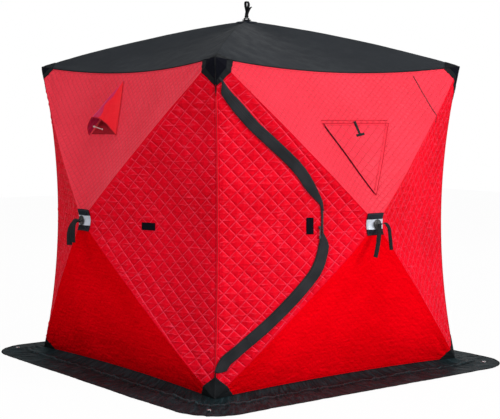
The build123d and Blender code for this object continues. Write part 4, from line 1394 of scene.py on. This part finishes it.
# ---------------------------------------------------------------- corners
def corner_patch(name, face, sx, sy, reach, stand_off, material):
    """A cloth patch round one corner, fanned from the level edge to the upright edge."""
    fans, rings = 34, 16
    angle = np.linspace(0, math.pi / 2, fans)[:, None]
    share = np.linspace(0, 1, rings)
    radius = 1.0 / (np.cos(angle) / reach[0] + np.sin(angle) / reach[1])
    x = (sx * (face.half_x - radius * np.cos(angle) * share)).ravel()
    y = (sy * (face.half_y - radius * np.sin(angle) * share)).ravel()
    share = np.tile(share, fans)
    height = stand_off * (0.15 + 0.85 * np.minimum(1, share * 4)) - 0.0010 * (share == 1)
    verts = np.zeros((fans * rings, 3))
    level = np.abs(y) / face.half_y >= np.abs(x) / face.half_x
    for side, here in (("upper" if sy > 0 else "lower", level),
                       ("right" if sx > 0 else "left", ~level)):
        along, inward = face_to_edge(face, side, x[here], y[here])
        # never past the cloth's own edge
        spot = edge_to_face(face, side, np.clip(along, -1, 1), np.maximum(inward, 0.0))
        verts[here] = cloth_point(face, side, *spot, height[here], quilted=False)
    quads = drop_flat(verts, facing(verts, grid_faces(fans, rings), face.normal))
    ob = new_object(name, verts, quads, material, uv=np.stack([x, y], 1))
    thicken(ob, 0.0018)
    attach(ob, "base")
    return ob


def corner_tag(sx, sy):
    return ("r" if sx > 0 else "l") + ("t" if sy > 0 else "b")


for face in FACES.values():
    for sx, sy in CORNERS:
        name = f"corner_patch_{face.name}_{corner_tag(sx, sy)}"
        capped = sy > 0 and not face.is_roof
        reach = ROOF_CORNER if face.is_roof else TOP_CORNER if capped else FOOT_CORNER
        ob = corner_patch(name, face, sx, sy, reach, 0.0040, BLACK_CLOTH)
        if capped:
            corner_patch(name + "_cap", face, sx, sy, TOP_CORNER_CAP, 0.0066, HOOK_LOOP)
        if name == "corner_patch_front_lb":
            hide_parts("corner_pockets")

# Black cloth sleeves that hold the pole tips: (distance back from the corner, radius).
SLEEVE_PROFILE = [
    (0.102, 0.0205), (0.1035, 0.0215), (0.100, 0.0212), (0.089, 0.0202), (0.078, 0.0208),
    (0.0745, 0.0200), (0.0755, 0.0190), (0.089, 0.0190), (0.101, 0.0192)]


def tip_sleeve(face, sx, sy):
    diagonal = math.hypot(face.half_x, face.half_y)
    out_x, out_y = sx * face.half_x / diagonal, sy * face.half_y / diagonal
    segments = 22
    turn = np.linspace(0, 2 * math.pi, segments, endpoint=False)
    verts = []
    for k, (back, radius) in enumerate(SLEEVE_PROFILE):
        radius = radius + 0.0006 * np.sin(5 * turn + k)
        across, reach = np.cos(turn) * radius, diagonal - back
        verts.append(to_world(face, out_x * reach - out_y * across,
                              out_y * reach + out_x * across, -0.018 + np.sin(turn) * radius))
    faces = grid_faces(len(SLEEVE_PROFILE), segments, close_rows=True, close_columns=True)
    ob = new_object(f"tip_sleeve_{face.name}_{corner_tag(sx, sy)}", verts, faces, BLACK_CLOTH,
                    recalc=True)
    attach(ob, "base")


for face in FACES.values():
    for sx, sy in CORNERS:
        tip_sleeve(face, sx, sy)

# ---------------------------------------------------------------- snow skirt
SKIRT_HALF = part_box("snow_skirt")[1][0] - 0.016
SKIRT_CORNER_RADIUS = 0.250
SKIRT_STATIONS, SKIRT_ROWS = 1500, 34


def rounded_square(position, half, radius):
    """Points and outward directions on a rounded square, one side per unit of position."""
    quarter = np.floor(position).astype(int) % 4
    core = half - radius
    arc = math.pi * radius / 2
    distance = (position - np.floor(position)) * (2 * core + arc) - arc / 2
    turn = (np.minimum(distance, 0) + np.maximum(distance - 2 * core, 0)) / radius
    out = np.stack([np.sin(turn), -np.cos(turn)], 1)
    slide = np.clip(distance, 0, 2 * core) - core
    spot = np.stack([slide, np.full_like(slide, -core)], 1) + radius * out
    cosine, sine = np.array([1, 0, -1, 0])[quarter], np.array([0, 1, 0, -1])[quarter]
    return [np.stack([cosine * pair[:, 0] - sine * pair[:, 1],
                      sine * pair[:, 0] + cosine * pair[:, 1]], 1) for pair in (spot, out)]


def skirt_points():
    """A grid of points, hem to outer edge, and its (around, out) map."""
    position = np.linspace(0, 4, SKIRT_STATIONS, endpoint=False)
    rim, rim_out = rounded_square(position, SKIRT_HALF, SKIRT_CORNER_RADIUS)
    # the hem: the rim scaled in to the walls, whose lower edges hang back between corners
    hem = np.clip(rim * (HALF / np.abs(rim).max(1))[:, None], -HALF, HALF)
    x, y = hem.T
    level = np.abs(y) > np.abs(x)
    middle = 1 - (np.where(level, x, y) / HALF) ** 2
    back = EDGE_SLACK["lower"][1] * middle
    hem = np.stack([np.where(level, x, x - np.sign(x) * back),
                    np.where(level, y - np.sign(y) * back, y)], 1)
    hem_z = Z_BOTTOM + EDGE_SLACK["lower"][0] * middle + 0.004
    bulge = (0.007 * value_noise(position * 7.0, 0.5, 1)
             + 0.0022 * value_noise(position * 22.0, 3.5, 2))
    reach = rim + rim_out * bulge[:, None] - hem

    around, out = np.meshgrid(position, np.linspace(0, 1, SKIRT_ROWS), indexing="ij")
    eased = out ** 0.9
    flat = hem[:, None, :] + reach[:, None, :] * eased[..., None]
    distance = np.linalg.norm(reach, axis=1)[:, None] * eased
    z = hem_z[:, None] * np.maximum(0.0, 1 - distance / 0.070) ** 1.5
    # long folds, small folds, swells, and gathers at the corners
    warp = 1.3 * value_noise(around * 15, out * 2.0, 3)
    long_folds = np.abs(value_noise(around * 62 + warp, out * 1.8 + 0.4, 4))
    swells = np.maximum(0.0, value_noise(around * 19.0, out * 1.3 + 5, 5))
    small_folds = np.abs(value_noise(around * 150.0, out * 2.6, 7))
    to_corner = np.minimum(position % 1.0, 1 - position % 1.0)
    gathers = np.maximum(0, np.sin(to_corner * 150)) * np.exp(-(to_corner / 0.10) ** 2)
    relief = (0.0100 * long_folds * (0.5 + 0.5 * out) + 0.0036 * small_folds
              + 0.013 * swells * np.sin(np.pi * np.minimum(1, out * 1.15))
              + 0.008 * gathers[:, None] * out)
    flatter = 1 - 0.72 * smooth_step(0.55, 1.0, out)       # towards the outer edge
    z = z + relief * smooth_step(0.0, 0.16, out) * flatter
    # the crease the folded skirt keeps, parallel to the hem and steeper outside
    crease = np.exp(-((out - 0.375) / np.where(out < 0.375, 0.090, 0.030)) ** 2)
    z = z + 0.0125 * crease * (0.72 + 0.28 * value_noise(around * 6.0, 2.2, 9))
    lumps = 0.5 + 0.5 * value_noise(flat[..., 0] / 0.035, flat[..., 1] / 0.035, 6)
    z = z + 0.003 * lumps * smooth_step(0.0, 0.15, out)
    z = np.maximum(z, 0.0012)
    z[:, -1] = np.maximum(0.0010, z[:, -1] * 0.45)
    return np.dstack([flat, z]), np.dstack([around, out])


skirt_grid, skirt_map = skirt_points()
skirt = new_object("skirt_cloth", skirt_grid,
                   grid_faces(SKIRT_STATIONS, SKIRT_ROWS, close_rows=True),
                   skirt_material(), uv=skirt_map)
recalc_normals(skirt, face_up=True)
thicken(skirt, 0.0010)
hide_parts("snow_skirt")
attach(skirt, "base")

# turned hem round the skirt's outer edge
rim_path = np.vstack([skirt_grid[:, -1], skirt_grid[:1, -1]]) + [0, 0, 0.0016]
attach(tube("skirt_edge_binding", rim_path, 0.0022, PIPING_BLACK, segments=8),
       "base")

# Rolled anchor eyelets in the skirt corners: (radius, height over the cloth).
EYELET_PROFILE = [(0.0060, -0.002), (0.0060, 0.0012), (0.0072, 0.0026), (0.0095, 0.0028),
                  (0.0118, 0.0016), (0.0128, 0.0000), (0.0128, -0.0016)]
EYELET_METAL = eyelet_material()
EYELET_DARK = plain_cloth("eyelet_dark", (0.004, 0.004, 0.004), roughness=0.9)


def eyelet(tag, x, y):
    points = skirt_grid.reshape(-1, 3)
    near = np.hypot(points[:, 0] - x, points[:, 1] - y) < 0.02
    z = points[near][:, 2].max() if near.any() else 0.006
    segments = 36
    turn = np.linspace(0, 2 * math.pi, segments, endpoint=False)

    def circle(radius, height):
        return np.stack([x + radius * np.cos(turn), y + radius * np.sin(turn),
                         np.full(segments, z + height)], 1)

    faces = grid_faces(len(EYELET_PROFILE), segments, close_rows=True, close_columns=True)
    ring = new_object(f"eyelet_{tag}", [circle(*station) for station in EYELET_PROFILE],
                      faces, EYELET_METAL, recalc=True)
    attach(ring, "base")
    # a dark disc in the eyelet's hole: painted shade
    disc = new_object(f"eyelet_hole_{tag}", np.vstack([[x, y, z + 0.0004],
                                                       circle(0.0062, 0.0004)]),
                      [(0, 1 + k, 1 + (k + 1) % segments) for k in range(segments)],
                      EYELET_DARK)
    attach(disc, "base")


mounts = {mount["name"]: mount for mount in frame["record"]["mounts"]}
spacing = mounts["anchor_eyelets"]["dims"]
for (sx, sy), tag in zip(CORNERS, ("lf", "lb", "rf", "rb")):
    eyelet(tag, sx * spacing["spacing_x_mm"] / 2000, sy * spacing["spacing_y_mm"] / 2000)

# ---------------------------------------------------------------- vent hood
HOOD_PEAK = 0.066          # how far the hood stands off the wall
HOOD_RIM_RISE = 0.100      # how far its rim arches up
HOOD_COUNT = 56


def hood_material(name, **settings):
    # the hood's inner face is coloured dark red: painted shade inside the hood
    return cloth_material(name, crinkle=0.9, lining=(0.30, 0.0020, 0.0120), seam_dark=0.0,
                          **settings)


def hood_points():
    """The hood's (x, y) on the left wall and its points, rows from the top to the rim."""
    share = np.linspace(0, 1, HOOD_COUNT)
    down, across = np.meshgrid(share, share, indexing="ij")
    arch = np.sin(np.pi * across ** 0.55) ** 0.9
    rise = np.sin(np.pi * across ** 0.60) ** 0.95
    top, left, right = VENT
    rim_x = left[0] + (right[0] - left[0]) * across
    rim_y = left[1] + (right[1] - left[1]) * across + HOOD_RIM_RISE * rise
    x, y = top[0] + (rim_x - top[0]) * down, top[1] + (rim_y - top[1]) * down
    # the cloth is drawn tight from the top to the prop, with slack either side
    crease = np.exp(-((across - 0.32) / 0.10) ** 2)
    height = (HOOD_PEAK * arch * down ** 1.1 * (0.86 + 0.20 * crease)
              + 0.007 * np.sin(np.pi * down) * arch * (1 - crease))
    wrinkles = (0.0030 * value_noise(x / 0.035, y / 0.07, 7)
                + 0.0012 * value_noise(x / 0.012, y / 0.03, 5))
    stand_off = height + 0.0045 + wrinkles * smooth_step(0, 0.03, height)
    to_side = np.minimum(across, 1 - across) * 0.3 + 0.002
    return x, y, to_side, on_face(LEFT, x, y, stand_off, "upper")


hood_x, hood_y, hood_edge, hood_grid = hood_points()
hood = new_object(
    "vent_hood_cloth", hood_grid,
    facing(hood_grid, grid_faces(HOOD_COUNT, HOOD_COUNT), LEFT.normal),
    hood_material("cloth_hood", base=(0.88, 0.004, 0.016), deep=(0.80, 0.003, 0.013),
                  specular=0.16, sheen=0.30, sheen_tint=(1.0, 0.55, 0.75)),
    uv=np.dstack([hood_x, hood_y]),
    seam=np.dstack([np.full_like(hood_edge, 0.3), hood_edge]))
# the steep face on the hood's left gets a darker, magenta copy of the cloth with strong pink sheen: painted shade
# and pink reflection
hood.data.materials.append(
    hood_material("cloth_hood_side", base=(0.60, 0.006, 0.075), deep=(0.52, 0.005, 0.060),
                  specular=0.22, sheen=0.60, sheen_tint=(1.0, 0.30, 0.80)))
for polygon in hood.data.polygons:
    row = min(polygon.vertices) // HOOD_COUNT
    column = min(vert % HOOD_COUNT for vert in polygon.vertices)
    if column / (HOOD_COUNT - 1) < 0.40 - 0.05 * math.sin(row * 0.23):
        polygon.material_index = 1
thicken(hood, 0.0018)
bpy.context.view_layer.objects.active = hood
bpy.ops.object.modifier_apply(modifier="thick")
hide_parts("vent_hood")
hood_rim = tube("vent_hood_rim", hood_grid[-1], 0.0024, PIPING_RED, segments=8)

# a point on the wall's upper side is worked out; hood and rim take their own meshes and ride that side
squash_anchor = tuple(on_face(LEFT, -0.04, 0.58, 0.004, "upper"))
for ob in (hood, hood_rim):
    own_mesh(ob)
    attach(ob, "left_panel_upper")

net = triangle_piece("vent_net", LEFT, "upper", VENT_NET, 0.0006, net_material(), count=16,
                     thick=0.0008)
attach(net, "left_panel_upper")

# ---------------------------------------------------------------- CAD nodes kept as they are
METAL = (0.016, 0.016, 0.018)
FIBRE = fibre_material()
CAD_MATERIALS = {
    "window_pane": pane_material(),
    "vent_prop": moulded("prop_pale", (0.62, 0.52, 0.50), roughness=0.35, scale=150.0),
    "zip_pull": moulded("zip_pull_metal", METAL, roughness=0.5, scale=220.0)}
for name, ob in frame["nodes"].items():
    material = CAD_MATERIALS.get(name) or (FIBRE if "_pole_" in name else None)
    if ob.hide_render or material is None:
        continue
    for slot in ob.material_slots:
        slot.material = material
    if not ob.material_slots:
        ob.data.materials.append(material)

# the zip slider is the small part of the CAD door; the door's cloth is replaced
slider = keep_pieces(
    frame["nodes"]["door_panel"], "zip_slider", "zip_slider_body",
    moulded("zip_slider_metal", METAL, roughness=0.5, scale=220.0),
    lambda points: (points.max(0) - points.min(0)).max() > 0.030)
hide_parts("door_panel")
attach(slider, "door")


# ---------------------------------------------------------------- floor, light, camera
def floor_material():
    """Pale floor; straight from the camera it glows almost white, keeping a trace of shadow."""
    mat = Graph("floor_pale")
    mat.finish(mat.mix(mat.noise(3.0, 3), (0.80, 0.80, 0.805), (0.83, 0.83, 0.83)), 0.9,
               Specular_IOR_Level=0.0)
    glow = mat.node("ShaderNodeEmission")
    glow.inputs["Strength"].default_value = 1.0
    mix = mat.node("ShaderNodeMixShader")
    from_camera = mat.node("ShaderNodeLightPath").outputs["Is Camera Ray"]
    mat.plug(mix.inputs[0], mat.mul(from_camera, 0.97))
    mat.plug(mix.inputs[1], mat.shader.outputs[0])
    mat.plug(mix.inputs[2], glow.outputs[0])
    mat.plug(mat.tree.nodes["Material Output"].inputs["Surface"], mix.outputs[0])
    return mat.material


FLOOR_HALF, FLOOR_Z = 14.0, -0.0005
floor_corners = [(sx * FLOOR_HALF, sy * FLOOR_HALF, FLOOR_Z)
                 for sx, sy in ((-1, -1), (1, -1), (1, 1), (-1, 1))]
new_object("floor", floor_corners, [(0, 1, 2, 3)], floor_material(), smooth=False)


def area_light(name, place, target, size, power):
    light = bpy.data.lights.new(name, "AREA")
    light.shape = "RECTANGLE"
    light.size, light.size_y = size
    light.energy = power
    ob = bpy.data.objects.new(name, light)
    bpy.context.scene.collection.objects.link(ob)
    ob.location = place
    ob.rotation_euler = (Vector(target) - Vector(place)).to_track_quat("-Z", "Y").to_euler()


area_light("key", place=(1.8, -7.0, 3.1), target=(0.2, -0.9, 0.8), size=(3.4, 2.6), power=375)
area_light("fill", place=(-5.6, -1.4, 5.8), target=(-0.9, 0, 1.1), size=(3.0, 2.4), power=185)
area_light("top", place=(-0.4, -0.6, 6.8), target=(0, 0, 1.2), size=(4.0, 4.0), power=105)
area_light("rim", place=(4.8, 5.0, 4.0), target=(0.4, 0.4, 1.0), size=(3.0, 3.0), power=90)


def set_world():
    """A dim cool sky for lighting, plain white where the camera sees it."""
    scene = bpy.context.scene
    world = scene.world or bpy.data.worlds.new("world")
    scene.world = world
    world.use_nodes = True
    nodes, links = world.node_tree.nodes, world.node_tree.links
    sky, backdrop = nodes["Background"], nodes.new("ShaderNodeBackground")
    for node, colour, strength in ((sky, (0.98, 0.985, 1.0, 1), 0.27),
                                   (backdrop, (1, 1, 1, 1), 1.0)):
        node.inputs["Color"].default_value = colour
        node.inputs["Strength"].default_value = strength
    light_path = nodes.new("ShaderNodeLightPath")
    mix = nodes.new("ShaderNodeMixShader")
    links.new(light_path.outputs["Is Camera Ray"], mix.inputs[0])
    links.new(sky.outputs[0], mix.inputs[1])
    links.new(backdrop.outputs[0], mix.inputs[2])
    links.new(mix.outputs[0], nodes["World Output"].inputs["Surface"])


def set_camera(place, yaw, pitch, roll, lens):
    """yaw turns from +Y towards +X, pitch is up, roll is about the view; radians."""
    data = bpy.data.cameras.new("camera")
    data.sensor_width = 36.0
    data.sensor_fit = "HORIZONTAL"
    data.lens = lens
    data.clip_end = 100
    camera = bpy.data.objects.new("camera", data)
    bpy.context.scene.collection.objects.link(camera)
    view = np.array([math.sin(yaw) * math.cos(pitch), math.cos(yaw) * math.cos(pitch),
                     math.sin(pitch)])
    level = unit(np.cross(view, [0, 0, 1]))
    upright = np.cross(level, view)
    right = math.cos(roll) * level + math.sin(roll) * upright
    up = -math.sin(roll) * level + math.cos(roll) * upright
    rows = [(right[k], up[k], -view[k], place[k]) for k in range(3)]
    camera.matrix_world = Matrix((*rows, (0, 0, 0, 1)))
    bpy.context.scene.camera = camera


set_world()
set_camera(place=(-4.6214, -5.9483, 1.4868), yaw=0.6638, pitch=-0.0767,
           roll=math.radians(0.2), lens=88.99)
bpy.context.scene.view_settings.view_transform = "Standard"
